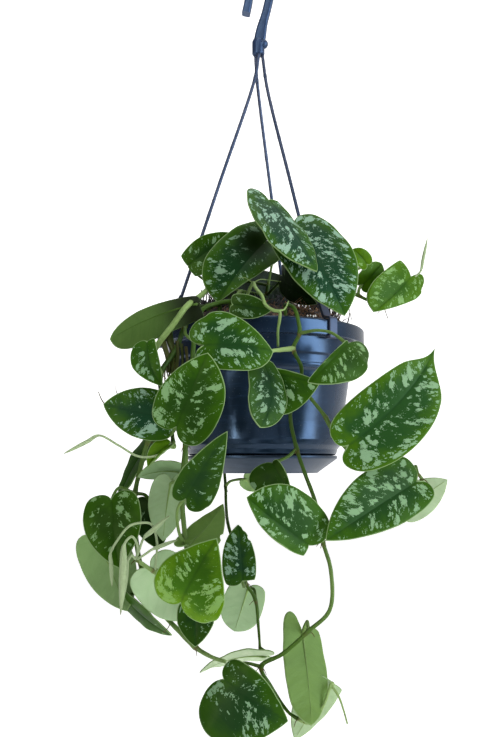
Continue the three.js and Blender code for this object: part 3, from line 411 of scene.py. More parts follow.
class Look:
    """A material, or another owner of nodes, and short calls for the nodes that make it."""

    def __init__(self, name, owner=None):
        self.owner = owner or bpy.data.materials.new(name)
        self.owner.use_nodes = True
        self.tree = self.owner.node_tree
        self.tree.nodes.clear()

    def node(self, kind, inputs=(), out=0, **settings):
        made = self.tree.nodes.new(kind)
        for key, value in settings.items():
            setattr(made, key, value)
        for key, value in dict(inputs).items():
            self.put(made.inputs[key], value)
        return Value(self, made.outputs[out])

    def put(self, socket, value):
        if isinstance(value, Value):
            self.tree.links.new(value.socket, socket)
        elif socket.type == "RGBA" and len(value) == 3:
            socket.default_value = (*value, 1)
        else:
            socket.default_value = value

    def math(self, operation, a, b=0.0, c=0.0):
        return self.node("ShaderNodeMath", {0: a, 1: b, 2: c}, operation=operation)

    def step(self, value, low, high, to_low=0.0, to_high=1.0):
        values = {"Value": value, "From Min": low, "From Max": high, "To Min": to_low, "To Max": to_high}
        return self.node("ShaderNodeMapRange", values, interpolation_type="SMOOTHSTEP")

    def mix(self, factor, a, b, share=None):
        """Colour a turned to colour b by the factor, or by a share of it."""
        factor = factor if share is None else factor * share
        return self.node("ShaderNodeMix", {0: factor, 6: a, 7: b}, out=2, data_type="RGBA")

    def split(self, vector, kind="XYZ"):
        parts = self.node("ShaderNodeSeparate" + kind, {0: vector}).socket.node
        return [Value(self, part) for part in parts.outputs]

    def attribute(self, name):
        return self.split(self.node("ShaderNodeAttribute", out="Vector", attribute_name=name))

    def vector(self, x, y, z):
        return self.node("ShaderNodeCombineXYZ", {0: x, 1: y, 2: z})

    def vector_math(self, operation, a, b):
        key = "Scale" if operation == "SCALE" else 1
        return self.node("ShaderNodeVectorMath", {0: a, key: b}, operation=operation)

    def place(self, kind="Object"):
        return self.node("ShaderNodeTexCoord", out=kind)

    def noise(self, vector, scale, detail=2.0, roughness=0.5, out=0):
        values = {"Vector": vector, "Scale": scale, "Detail": detail, "Roughness": roughness}
        return self.node("ShaderNodeTexNoise", values, out=out)

    def cells(self, vector, scale, out=0):
        return self.node("ShaderNodeTexVoronoi", {"Vector": vector, "Scale": scale}, out=out)

    def bump(self, height, distance, strength=1.0):
        values = {"Height": height, "Distance": distance, "Strength": strength}
        return self.node("ShaderNodeBump", values)

    def principled(self, **values):
        names = {key.replace("_", " "): value for key, value in values.items()}
        return self.node("ShaderNodeBsdfPrincipled", names)

    def finish(self, shader, kind="Material"):
        out = self.tree.nodes.new("ShaderNodeOutput" + kind)
        self.tree.links.new(shader.socket, out.inputs["Surface"])
        return self.owner

    def finish_thin(self, shader, colour, share):
        """Lets light through a thin part, as a leaf does."""
        through = self.node("ShaderNodeBsdfTranslucent", {"Color": colour})
        return self.finish(self.node("ShaderNodeMixShader", {0: share, 1: shader, 2: through}))


# ---- camera, lights and floor ----
CAMERA_PLACE = (-0.0102, -0.620, -0.383)
CAMERA_RISE = 6.48
FOCAL_PIXELS = 846
PHOTO_HEIGHT = 737

scene = bpy.context.scene
scene.view_settings.view_transform = "Standard"


def add_camera():
    data = bpy.data.cameras.new("camera")
    data.sensor_width = 36
    data.lens = FOCAL_PIXELS / PHOTO_HEIGHT * 36
    data.clip_start = 0.01
    data.clip_end = 50
    camera = bpy.data.objects.new("camera", data)
    camera.location = CAMERA_PLACE
    camera.rotation_euler = (math.radians(90 + CAMERA_RISE), 0, 0)
    scene.collection.objects.link(camera)
    scene.camera = camera


def add_light(name, place, aim, size, watts, colour=(1, 1, 1)):
    data = bpy.data.lights.new(name, "AREA")
    data.shape = "RECTANGLE"
    data.size, data.size_y = size
    data.energy = watts
    data.color = colour
    light = bpy.data.objects.new(name, data)
    light.location = place
    light.rotation_euler = (Vector(aim) - Vector(place)).to_track_quat("-Z", "Y").to_euler()
    scene.collection.objects.link(light)
    return light


def add_world():
    """Soft light from all round, brighter from behind and from the right."""
    scene.world = bpy.data.worlds.new("studio")
    look = Look("studio", scene.world)
    x, y, _ = look.split(look.place("Generated"))
    share = look.step(y, -0.5, 0.6, 0.14, 0.9)
    left = look.step(x, -0.8, 0.1, 0.12, 1.0)
    look.finish(look.node("ShaderNodeBackground", {"Color": (1, 1, 1), "Strength": share * left}), "World")


add_camera()
add_world()
add_light("key", (-0.2, -1.3, 1.1), (0, 0, -0.3), (1.0, 0.8), 16)
add_light("fill", (1.25, -0.6, -0.1), (0, 0, -0.38), (0.8, 1.2), 12)
add_light("top", (0.1, 0.1, 1.0), (0, 0, -0.3), (1.0, 1.0), 8)
# Two lamps that light nothing matt and mostly show as highlights on the pot.
add_light("glint_left", (-0.9, -1.2, -0.1), (0, 0, -0.38), (0.10, 1.3), 20).visible_diffuse = False
BLUE = (0.55, 0.74, 1.0)
add_light("glint_right", (1.25, -0.75, -0.1), (0, 0, -0.38), (0.9, 1.2), 36, BLUE).visible_diffuse = False


# ---- materials, all made of nodes ----
# Layers of silver on the leaves: cells per millimetre, least and most radius of a blotch as
# a share of its cell, and the share of the cells that have one where silver is 1.
SILVER_LAYERS = [
    (0.15, 0.24, 0.48, 0.62),
    (0.25, 0.20, 0.52, 0.85),
    (0.52, 0.15, 0.52, 0.60),
]
LEAF_STEP = 37.0  # how far apart two leaves lie in the noise, for seeds that differ by 1
DEEP_SHADE = (0.003, 0.008, 0.001)


def silver_splashes(look, x, q, edge, silver, seed):
    """Blotches and specks with jagged edges, few beside the midrib and at the margin."""
    flat = look.vector(x * 0.68, q, seed * LEAF_STEP)
    wander = look.vector_math("SUBTRACT", look.noise(flat, 0.50, 3, 0.72, out=1), (0.5, 0.5, 0.5))
    place = look.vector_math("ADD", flat, look.vector_math("SCALE", wander, 6.5))
    away = look.step(abs(x), 0.5, 3.5, 0.2, 1.0)
    inside = look.step(edge, 0.4, 2.2, 0.4, 1.0)
    crowd = look.step(look.noise(flat, 0.11, 1), 0.30, 0.62, 0.55, 1.15)
    room = away * inside * crowd
    splash = 0.0
    for scale, least, most, share in SILVER_LAYERS:
        chance, size = look.split(look.cells(place, scale, out=1), "Color")[:2]
        size = look.math("MULTIPLY_ADD", size, most - least, least) * room
        size = size * look.math("LESS_THAN", chance, silver * share)
        over = size - look.cells(place, scale)
        splash = look.math("MAXIMUM", splash, look.step(over, 0.0, 0.02 + 0.10 * scale))
    return splash


def leaf_top():
    look = Look("leaf_top")
    x, q, edge = look.attribute("place")
    tone, silver, seed = look.attribute("look")
    warm, shade, _ = look.attribute("cast")
    flat = look.vector(x * 0.75, q, seed * LEAF_STEP)
    splash = silver_splashes(look, x, q, edge, silver, seed)
    grain = look.noise(flat, 0.9, 3, 0.6)
    # Green, brighter at the margins and on young leaves.
    deep = look.step(edge + (look.noise(flat, 0.16, 2) - 0.5) * 14.0, 1.5, 12.0)
    young, aged_and_shaded = look.step(tone, 0.0, 1.0), look.step(tone, 0.0, -1.0)
    rim = look.mix(young, (0.034, 0.112, 0.002), (0.15, 0.33, 0.003))
    heart = look.mix(warm, (0.008, 0.048, 0.024), (0.013, 0.056, 0.001))
    heart = look.mix(young, heart, (0.055, 0.175, 0.003))
    fleck = look.mix(warm, (0.006, 0.036, 0.016), (0.008, 0.036, 0.001))
    green = look.mix(deep, rim, heart)
    # Dark tones paint aged tissue and the shade deep in the plant, nearly black.
    green = look.mix(aged_and_shaded, green, (0.004, 0.010, 0.001), 0.93)
    green = look.mix(grain, green, fleck, 0.5)
    green = look.mix(look.step(abs(x), 1.6, 0.1), green, fleck, 0.35)
    metal = look.mix(warm, (0.36, 0.56, 0.45), (0.26, 0.45, 0.17))
    metal = look.mix(young, metal, (0.25, 0.44, 0.06))
    metal = look.mix(look.noise(flat, 1.6, 3), metal, (0.14, 0.28, 0.14), 0.6)
    metal = look.mix(aged_and_shaded, metal, (0.10, 0.17, 0.08), 0.8)
    colour = look.mix(splash, green, metal, 0.90)
    colour = look.mix(shade, colour, DEEP_SHADE, 0.93)
    colour = look.mix(look.step(edge, 0.6, 0.2), colour, (0.33, 0.49, 0.22), 0.75)
    vein = look.math("SINE", q * 0.9)
    normal = look.bump(vein * 0.3 + grain * 0.6 + splash * 0.15, 0.0002, 0.6)
    rough = splash * 0.08 + grain * 0.22 + 0.32
    shader = look.principled(Base_Color=colour, Roughness=rough, Normal=normal,
                             Specular_IOR_Level=0.09, Specular_Tint=(0.75, 1.0, 0.4))
    dull = look.node("ShaderNodeBsdfDiffuse", {"Color": DEEP_SHADE})
    shader = look.node("ShaderNodeMixShader", {0: shade, 1: shader, 2: dull})
    return look.finish_thin(shader, colour, 0.14)


def leaf_under():
    look = Look("leaf_under")
    x, q, edge = look.attribute("place")
    tone, silver, seed = look.attribute("look")
    bleached = look.attribute("cast")[2]
    flat = look.vector(x * 0.62, q, seed * LEAF_STEP)
    cloudy = look.noise(flat, 0.2, 3)
    vein = look.math("SINE", look.math("MULTIPLY_ADD", cloudy, 3.0, q * 0.95))
    young, aged_and_shaded = look.step(tone, 0.0, 1.0), look.step(tone, 0.0, -1.0)
    pale = look.mix(silver, (0.27, 0.44, 0.11), (0.46, 0.68, 0.38))
    pale = look.mix(bleached, pale, (0.62, 0.72, 0.50))
    dim = look.mix(silver, (0.16, 0.30, 0.05), (0.31, 0.52, 0.23))
    dim = look.mix(young, (0.05, 0.11, 0.015), dim)
    colour = look.mix(young, (0.095, 0.185, 0.035), pale)
    colour = look.mix(cloudy, colour, dim, 0.6)
    colour = look.mix(look.step(vein, 0.80, 1.0), colour, dim, 0.12)
    # Dark tones paint aged tissue and the shade deep in the plant, nearly black.
    colour = look.mix(aged_and_shaded, colour, (0.006, 0.010, 0.001), 0.97)
    margin = look.mix(aged_and_shaded, (0.36, 0.52, 0.22), (0.05, 0.085, 0.02))
    colour = look.mix(look.step(edge, 0.7, 0.2), colour, margin, 0.5)
    normal = look.bump(vein * 0.3 + look.noise(flat, 1.1, 3), 0.0003, 0.8)
    shader = look.principled(Base_Color=colour, Roughness=0.55, Normal=normal,
                             Specular_IOR_Level=0.15, Specular_Tint=(0.85, 1.0, 0.8))
    return look.finish_thin(shader, colour, 0.22)


def leaf_edge():
    look = Look("leaf_edge")
    tint = look.noise(look.vector(*look.attribute("place")), 0.5, 2)
    tone = look.attribute("look")[0]
    colour = look.mix(tint, (0.17, 0.32, 0.07), (0.28, 0.44, 0.14))
    colour = look.mix(look.step(tone, 0.1, -0.9), colour, (0.02, 0.035, 0.006))
    return look.finish_thin(look.principled(Base_Color=colour, Roughness=0.5), colour, 0.25)


def stalk():
    look = Look("stalk")
    along, around, brown = look.attribute("place")
    tone, silver, seed = look.attribute("look")
    streak = look.noise(look.vector(along * 0.35, around, seed * LEAF_STEP), 1.1, 3, 0.6)
    pale = look.mix(silver, (0.35, 0.51, 0.18), (0.47, 0.57, 0.36))
    colour = look.mix(look.step(tone, 0.0, 1.0), (0.050, 0.115, 0.008), pale)
    # Dark tones paint aged stems and the shade deep in the plant.
    colour = look.mix(look.step(tone, 0.1, -1.0), colour, (0.016, 0.030, 0.006), 0.9)
    colour = look.mix(streak, colour, (0.04, 0.10, 0.012), 0.5)
    colour = look.mix(brown, colour, (0.11, 0.062, 0.022))
    normal = look.bump(streak, 0.0003, 0.7)
    shader = look.principled(Base_Color=colour, Roughness=0.42, Normal=normal,
                             Specular_IOR_Level=0.15, Specular_Tint=(0.85, 1.0, 0.6))
    return look.finish_thin(shader, colour, 0.1)


def scuffed_plastic(name, colour, lifted, roughness):
    look = Look(name)
    place = look.place()
    fine = look.noise(place, 160, 4, 0.7)
    low = look.node("ShaderNodeMapping", {"Vector": place, "Scale": (1, 1, 7)})
    rubbed = look.step(look.noise(low, 30, 5, 0.75), 0.50, 0.80) * 0.35
    dust = look.step(look.noise(place, 900, 2, 0.6), 0.68, 0.78)
    base = look.mix(look.step(look.noise(place, 14, 4, 0.6), 0.35, 0.7), colour, lifted)
    base = look.mix(rubbed, base, tuple(min(1, c * 2.0) for c in lifted))
    base = look.mix(dust, base, (0.5, 0.5, 0.5), 0.16)
    rough = fine * 0.16 + (roughness - 0.08) + rubbed * 0.25
    normal = look.bump(fine, 0.00012, 0.6)
    return look.finish(look.principled(Base_Color=base, Roughness=rough, Normal=normal,
                                       Specular_Tint=(0.42, 0.66, 1.0), Specular_IOR_Level=0.4))


def peat():
    """Brown with pale and dark crumbs, painted nearly black towards the back for the shade under the
    leaves.
    """
    look = Look("peat")
    place = look.place()
    coarse = look.noise(place, 120, 5, 0.7)
    crumbs = look.split(look.cells(place, 420, out=1), "Color")[0]
    colour = look.mix(look.step(coarse, 0.35, 0.7), (0.010, 0.006, 0.003), (0.045, 0.024, 0.012))
    colour = look.mix(look.step(crumbs, 0.80, 0.84, 0.0, 0.7), colour, (0.17, 0.085, 0.03))
    colour = look.mix(look.step(crumbs, 0.35, 0.30, 0.0, 0.6), colour, (0.010, 0.006, 0.004))
    # Painted shade: nearly black towards the back.
    shade_behind = look.step(look.split(place)[1], -0.045, -0.025)
    colour = look.mix(shade_behind, colour, (0.002, 0.002, 0.001), 0.85)
    normal = look.bump(coarse + look.cells(place, 320), 0.0012, 0.9)
    return look.finish(look.principled(Base_Color=colour, Roughness=0.95, Normal=normal))


def speckled(name, dark, light, scale, roughness):
    look = Look(name)
    mottle = look.noise(look.place(), scale, 4, 0.65)
    colour = look.mix(look.step(mottle, 0.3, 0.7), dark, light)
    normal = look.bump(mottle, 0.0003, 0.6)
    return look.finish(look.principled(Base_Color=colour, Roughness=roughness, Normal=normal))


FOLIAGE = [leaf_top(), leaf_under(), leaf_edge(), stalk()]
TOP, UNDER, EDGE, STALK = range(4)
POT_PLASTIC = scuffed_plastic("pot_plastic", (0.005, 0.011, 0.022), (0.011, 0.024, 0.052), 0.22)
SAUCER_PLASTIC = scuffed_plastic("saucer_plastic", (0.012, 0.018, 0.028), (0.03, 0.04, 0.06), 0.36)
HOOK_PLASTIC = scuffed_plastic("hook_plastic", (0.010, 0.018, 0.045), (0.03, 0.05, 0.11), 0.34)
STRAND_PLASTIC = scuffed_plastic("strand_plastic", (0.022, 0.026, 0.052), (0.06, 0.065, 0.10), 0.42)
PEAT = peat()
LITTER = [
    speckled("peat_crumbs", (0.008, 0.005, 0.003), (0.060, 0.032, 0.015), 260, 0.9),
    speckled("perlite", (0.55, 0.55, 0.52), (0.85, 0.85, 0.82), 400, 0.9),
    speckled("fibre", (0.12, 0.055, 0.018), (0.34, 0.17, 0.06), 300, 0.85),
    # Nearly black twigs that paint the shade under the leaves.
    speckled("twigs_painted_shade", (0.003, 0.003, 0.001), (0.012, 0.010, 0.004), 260, 0.9),
]
CRUMB, GRIT, FIBRE, TWIG = range(4)


# ---- mesh helpers ----
def unit(v):
    return v / max(np.linalg.norm(v), 1e-9)


def smoothstep(value, low, high):
    t = np.clip((value - low) / (high - low), 0, 1)
    return t * t * (3 - 2 * t)


def bump_at(distance, width):
    return np.exp(-(distance / width) ** 2)


def polar(radius, degrees):
    a = math.radians(degrees)
    return radius * math.cos(a), radius * math.sin(a)


class Weave:
    """Collects faces and makes one mesh of them.

    Place tells a blade's material how far across, along the veins and from the margin a point
    lies, and a stalk's how far along and round it lies and how brown it is. Look holds tone,
    silver and seed, and cast holds warmth, shade and bleached.
    """

    def __init__(self):
        self.verts, self.faces, self.slots = [], [], []
        self.place, self.look, self.cast = [], [], []
        self.count = 0

    def add(self, verts, faces, slot=0, place=0, look=0, cast=(0.5, 0, 0)):
        verts = np.asarray(verts, float)
        self.verts.append(verts)
        self.faces += [[self.count + i for i in face] for face in faces]
        self.count += len(verts)
        self.slots += [slot] * len(faces) if isinstance(slot, int) else slot
        for kept, values in ((self.place, place), (self.look, look), (self.cast, cast)):
            kept.append(np.zeros((len(verts), 3)) + values)

    def make(self, name, materials, sharp=None, attributes=()):
        mesh = bpy.data.meshes.new(name)
        mesh.from_pydata((np.concatenate(self.verts) * MM).tolist(), [], self.faces)
        mesh.polygons.foreach_set("material_index", self.slots)
        for material in materials:
            mesh.materials.append(material)
        for key in attributes:
            values = np.concatenate(getattr(self, key)).astype(np.float32)
            mesh.attributes.new(key, "FLOAT_VECTOR", "POINT").data.foreach_set("vector", values.ravel())
        mesh.polygons.foreach_set("use_smooth", [True] * len(mesh.polygons))
        if sharp is not None:
            mesh.set_sharp_from_angle(angle=math.radians(sharp))
        mesh.update()
        piece = bpy.data.objects.new(name, mesh)
        scene.collection.objects.link(piece)
        return piece


def settle(piece, slot, *nodes):
    """Puts a finished piece in the frame in place of the solids it stands for."""
    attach(piece, "root")
    if nodes:
        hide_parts(*nodes)


def spline(points, per_span):
    """Points along a centripetal Catmull-Rom curve."""
    p = np.asarray(points, float)
    p = np.vstack([2 * p[0] - p[1], p, 2 * p[-1] - p[-2]])
    line = []
    for i in range(1, len(p) - 2):
        x0, x1, x2, x3 = p[i - 1:i + 3]
        d0, d1, d2 = (np.linalg.norm(b - a) ** 0.5 for a, b in ((x0, x1), (x1, x2), (x2, x3)))
        t1 = d1 * ((x1 - x0) / d0 - (x2 - x0) / (d0 + d1) + (x2 - x1) / d1)
        t2 = d1 * ((x2 - x1) / d1 - (x3 - x1) / (d1 + d2) + (x3 - x2) / d2)
        a = -3 * x1 + 3 * x2 - 2 * t1 - t2
        b = 2 * x1 - 2 * x2 + t1 + t2
        line += [x1 + t1 * t + a * t * t + b * t ** 3 for t in np.arange(per_span) / per_span]
    return np.array([*line, p[-2]])


def lengths_along(line):
    return np.concatenate([[0], np.cumsum(np.linalg.norm(np.diff(line, axis=0), axis=1))])


def index_near(line, wanted):
    return np.argmin(np.linalg.norm(line - np.array(wanted, float), axis=1))


def ring_faces(rings, sides):
    """Faces between one ring of points and the next, and one over each end."""
    faces = []
    for i in range(rings - 1):
        for j in range(sides):
            k = (j + 1) % sides
            faces.append([i * sides + j, i * sides + k, (i + 1) * sides + k, (i + 1) * sides + j])
    last = (rings - 1) * sides
    return faces + [list(range(sides))[::-1], [last + j for j in range(sides)]]


def add_tube(weave, line, radii, slot=0, look=0, brown=0.0, sides=10):
    """A round rod along a line, with its own radius at each point and closed ends."""
    line = np.asarray(line, float)
    n = len(line)
    radii = np.broadcast_to(np.asarray(radii, float), (n,))
    brown = np.broadcast_to(np.asarray(brown, float), (n,))
    tangent = np.gradient(line, axis=0)
    side = unit(np.cross(unit(tangent[0]), [0.31, 0.17, 0.93]))
    length = lengths_along(line)
    angles = np.arange(sides) * 2 * math.pi / sides
    verts, place = [], []
    for i in range(n):
        t = unit(tangent[i])
        side = unit(side - t * side.dot(t))
        up = np.cross(t, side)
        for a in angles:
            verts.append(line[i] + radii[i] * (math.cos(a) * side + math.sin(a) * up))
            place.append([length[i], 2 * math.sin(a), brown[i]])
    if np.ndim(look) == 2:
        look = np.repeat(look, sides, axis=0)
    weave.add(verts, ring_faces(n, sides), slot, place, look)


def rounded(profile, radius=0.7, steps=3):
    """The profile with each corner but the first and last turned into a small arc."""
    p = [np.array(q, float) for q in profile]
    made = [p[0]]
    for before, corner, after in zip(p, p[1:], p[2:]):
        a, b = before - corner, after - corner
        reach = min(radius, 0.45 * np.linalg.norm(a), 0.45 * np.linalg.norm(b))
        start, end = corner + unit(a) * reach, corner + unit(b) * reach
        for t in np.linspace(0, 1, steps + 1):
            made.append((1 - t) ** 2 * start + 2 * t * (1 - t) * corner + t * t * end)
    return [*made, p[-1]]


def ball_profile(radius, middle, steps):
    rings = [[radius * math.sin(a), middle - radius * math.cos(a)]
             for a in np.linspace(0, math.pi, steps)]
    rings[0][0] = rings[-1][0] = 0
    return rings


def add_lathe(weave, profile, sides=144, centre=(0, 0), shake=None):
    """A turned body: the profile of [radius, height] closes on the axis at both ends."""
    verts = [[0, 0, profile[0][1]], [0, 0, profile[-1][1]]]
    for r, z in profile[1:-1]:
        for a in np.arange(sides) * 2 * math.pi / sides:
            verts.append([r * math.cos(a), r * math.sin(a), z])
    verts = np.array(verts)
    if shake is not None:
        verts = shake(verts)
    faces = []
    rings = len(profile) - 2
    last = 2 + (rings - 1) * sides
    for j in range(sides):
        k = (j + 1) % sides
        faces.append([0, 2 + k, 2 + j])
        for a in range(2, last, sides):
            faces.append([a + j, a + k, a + sides + k, a + sides + j])
        faces.append([1, last + j, last + k])
    weave.add(verts + (*centre, 0), faces)


# ---- leaves ----
COLUMNS = [0, 0.03, 0.08, 0.16, 0.27, 0.40, 0.54, 0.68, 0.81, 0.92, 1]
ROWS = 46
PETIOLE_RADIUS = 0.95
PLAIN_LEAF = {
    "skew": 0, "sweep": 0, "lobe": [1, 1], "belly": [0, 0], "neck": [0, 0], "drip": [1, 1],
    "nicks": [], "waves": 0.7, "young": 0, "stalk": PETIOLE_RADIUS, "bleached": 0, "shades": [],
}


def outline_point(row):
    """A point of the half outline, on a uniform Catmull-Rom curve."""
    h = HALF_OUTLINE
    n = len(h) - 1
    i = min(int(row * n), n - 1)
    t = row * n - i
    out = []
    for k in (0, 1):
        a, b, c, d = h[max(i - 1, 0)][k], h[i][k], h[i + 1][k], h[min(i + 2, n)][k]
        v0, v1 = (c - a) / 2, (d - b) / 2
        out.append((2 * b - 2 * c + v0 + v1) * t ** 3 + (3 * c - 3 * b - 2 * v0 - v1) * t * t
                   + v0 * t + b)
    return out


class Blade:
    """A leaf blade's middle surface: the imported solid's own, with fine waves added."""

    def __init__(self, leaf, seed):
        base, tip, self.width, turn, self.fold, self.bow, self.point = leaf[3:10]
        self.form = {**PLAIN_LEAF, **(leaf[11] if len(leaf) > 11 else {})}
        self.waves = self.form["waves"] * min(1, self.width / 45)
        self.phase = seed * 2.3
        self.base = np.array(base, float)
        along = np.array(tip, float) - self.base
        self.length = np.linalg.norm(along)
        self.along = along = along / self.length
        out = unit(np.array([0, -1.0, 0]) + along * along[1])
        a = math.radians(turn)
        self.out = out * math.cos(a) + np.cross(along, out) * math.sin(a)
        self.across = np.cross(along, self.out)

    def flat(self, row, side):
        """Across and along the leaf laid flat, both in millimetres."""
        lobe, belly, neck, drip = (self.form[key][0 if side > 0 else 1]
                                   for key in ("lobe", "belly", "neck", "drip"))
        ex, ey = outline_point(row)
        ey = ey * lobe if ey < 0 else ey + belly * ey * (1 - ey)
        half_width = self.width / 2 * (1 + self.form["skew"] * np.sign(side))
        narrowing = TIP_NARROWING * self.point * max(0, row - TIP_START) + neck * (1 - row) ** 3
        reach = abs(side)
        for nick_side, at, half_length, depth in self.form["nicks"]:  # torn close to the margin
            if side * nick_side > 0:
                narrowing += depth * max(0, 1 - abs(row - at) / half_length) * reach ** 4
        at_tip = 1 - DRIP_NARROWING * smoothstep(ey, drip, drip + DRIP_REACH)
        x = side * ex * half_width * (1 - narrowing) * at_tip
        y = row * row * (1 - reach) + ey * reach
        return x, y * self.length

    def lift(self, x, y, side):
        """A point of the leaf laid flat, bent to the leaf's surface."""
        fold = math.radians(self.fold)
        y = y / self.length
        arch = 4 * y * (1 - y) * self.length
        raised = abs(x) * math.sin(fold) - CUP * x * x / (self.width / 2) + self.bow * arch
        # Waves that grow towards the margin and die out at the tip.
        wave = math.sin(y * 11 + self.phase + (0.9 if side > 0 else 0))
        wave += 0.5 * math.sin(y * 23 + 2 * self.phase)
        raised += self.waves * wave * abs(side) ** 2.5 * smoothstep(y, 1.0, 0.8)
        return (self.base + self.along * (y * self.length)
                + self.across * (x * math.cos(fold) + self.form["sweep"] * arch) + self.out * raised)

    def midrib(self, y):
        return self.lift(0, y * self.length, 0)


def surface_normals(points, wide, out):
    """Normals of a grid of points, all on the side that out points to."""
    grid = points.reshape(-1, wide, 3)
    normal = np.cross(np.gradient(grid, axis=1), np.gradient(grid, axis=0)).reshape(-1, 3)
    weak = np.linalg.norm(normal, axis=1) < 1e-3
    normal = np.array([out if w else unit(n) for n, w in zip(normal, weak)])
    return normal * np.where(normal @ out < 0, -1, 1)[:, None]


def blade_faces(wide, total):
    """Faces and slots of a blade of two layers, whose first and last rows shrink to one point."""
    faces, slots = [], []

    def index(r, c):
        return r * wide + (wide // 2 if r in (0, ROWS) else c)

    def face(corners, slot):
        kept = [c for i, c in enumerate(corners) if c != corners[i - 1]]
        if len(kept) > 2:
            faces.append(kept)
            slots.append(slot)

    for r in range(ROWS):
        for c in range(wide - 1):
            a, b = index(r, c), index(r, c + 1)
            d, e = index(r + 1, c), index(r + 1, c + 1)
            face([a, b, e, d], TOP)
            face([total + a, total + d, total + e, total + b], UNDER)
        for c in (0, wide - 1):
            a, d = index(r, c), index(r + 1, c)
            pair = [a, d, total + d, total + a]
            face(pair if c == 0 else pair[::-1], EDGE)
    return faces, slots


def add_blade(weave, blade, look, seed):
    tone, silver, _, warmth = look
    sides = [-c for c in COLUMNS[:0:-1]] + COLUMNS
    wide = len(sides)
    grid = [(r / ROWS, s) for r in range(ROWS + 1) for s in sides]
    flats = np.array([blade.flat(r, s) for r, s in grid])
    points = np.array([blade.lift(x, y, s) for (x, y), (_, s) in zip(flats, grid)])
    reach = np.array([abs(s) for _, s in grid])
    normal = surface_normals(points, wide, blade.out)
    edge = np.min(np.linalg.norm(flats[:, None] - flats[reach == 1][None], axis=2), axis=1)
    x, y = flats[:, 0], flats[:, 1]
    up = y / blade.length
    # Along a side vein q stays the same, so the looks can follow the veins.
    q = y - np.abs(x) * (0.75 * smoothstep(up, -0.1, 0.45) - 0.25) - 0.006 * x * x
    tone = tone + blade.form["young"] * smoothstep(up, 0.7, 0.0)
    silver, shade = np.full_like(x, silver), np.zeros_like(x)
    for middle, height, spread, darkness, dulled in blade.form["shades"]:
        gap = np.hypot(x / (blade.width / 2) - middle, (up - height) * 2)
        near = bump_at(gap, spread)
        shade = np.maximum(shade, darkness * near)
        silver = silver * (1 - dulled * near)
    whole = np.ones_like(x)
    told = [np.stack(values, axis=1) for values in (
        (x, q, edge), (tone, silver, seed * whole),
        (warmth * whole, shade, blade.form["bleached"] * whole))]
    # Thinner at the margin, with a groove over the midrib.
    thick = BLADE * (0.38 + 0.12 * (1 - reach ** 4))
    groove = 0.15 * bump_at(x, 0.7) * smoothstep(up, 0.98, 0.8)
    layers = np.vstack([points + normal * (thick - groove)[:, None], points - normal * thick[:, None]])
    faces, slots = blade_faces(wide, len(points))
    # One face in the middle tells whether they all lie the wrong way round.
    at = 20 * wide + wide // 2
    corner, beside, above = points[at], points[at + 1], points[at + wide]
    if np.dot(np.cross(beside - corner, above - corner), blade.out) < 0:
        faces = [f[::-1] for f in faces]
    weave.add(layers, faces, slots, *(np.vstack([values, values]) for values in told))


# ---- stems ----
def stem_line(stems, index):
    foot, *points = stems[index][2]
    if index > 0:
        whole = stem_line(stems, 0)
        points = [whole[index_near(whole, foot)], *points]
    return spline(points, 8)


def leaf_start(vine, index, node):
    line = stem_line(vine["stems"], index)
    return line[index_near(line, vine["stems"][index][2][node])]


def joints_of(vine, index):
    leaves = vine["leaves"] + vine.get("rolled", [])
    return sorted({leaf[1] for leaf in leaves if leaf[0] == index})


def along_look(length, tone, seed):
    look = np.zeros((len(length), 3)) + (0, 0, seed)
    look[:, 0] = tone
    return look


def add_stem(weave, vine, index, seed):
    radius, tones, points = vine["stems"][index]
    line = stem_line(vine["stems"], index)
    if index == 0:
        x, y, foot = points[0]
        rise = [[x, y, z] for z in np.linspace(foot, points[1][2] - 1, 6)]
        line = np.vstack([rise, line])
    length = lengths_along(line)
    radii = np.full(len(line), float(radius))
    brown = np.zeros(len(line))
    for joint in joints_of(vine, index):  # swollen, with a brown scar just past the swelling
        at = length[index_near(line, points[joint])]
        radii *= 1 + 0.28 * bump_at(length - at, 2.2)
        brown += 0.75 * bump_at(length - at - 1.6, 0.9)
    radii *= 1 - 0.25 * smoothstep(length, length[-1] - 30, length[-1])
    radii *= 1 + 0.03 * np.sin(length * 0.7 + seed)
    tone = np.interp(length / length[-1], np.linspace(0, 1, len(tones)), tones)
    add_tube(weave, line, radii, STALK, along_look(length, tone, seed), np.clip(brown, 0, 1), 12)


def add_leaf(weave, vine, leaf, seed):
    """A leaf and its petiole, which runs on under the blade as its midrib."""
    look = leaf[10]
    tone, _, stalk_tone, _ = look
    blade = Blade(leaf, seed)
    # How far up the blade, as a share of its length, and how far under it.
    under = [blade.midrib(y) - blade.out * d for y, d in
             ((0.03, 0.9), (0.1, 0.6), (0.25, 0.5), (0.45, 0.45), (0.7, 0.42), (0.92, 0.40))]
    line = spline([leaf_start(vine, *leaf[:2]), *leaf[2], *under], 10)
    length = lengths_along(line)
    joint = length[index_near(line, under[0])]
    wider = blade.form["stalk"] - PETIOLE_RADIUS
    radius = PETIOLE_RADIUS + wider * smoothstep(length, joint - 3, joint - 25)
    thin = smoothstep(length, joint, joint + 0.8 * blade.length)
    radii = radius * (1 - 0.35 * smoothstep(length, joint - 3, joint + 6)) * (1 - 0.72 * thin)
    radii = radii + 0.45 * np.exp(-length / 5) + 0.18 * bump_at(length - joint + 4, 3)
    joined = smoothstep(length, joint - 2, joint + 4)
    stalk_look = along_look(length, stalk_tone + (max(tone, -0.6) - stalk_tone) * joined, seed)
    add_tube(weave, line, radii, STALK, stalk_look, 0.5 * np.exp(-length / 1.2), 10)
    add_blade(weave, blade, look, seed)


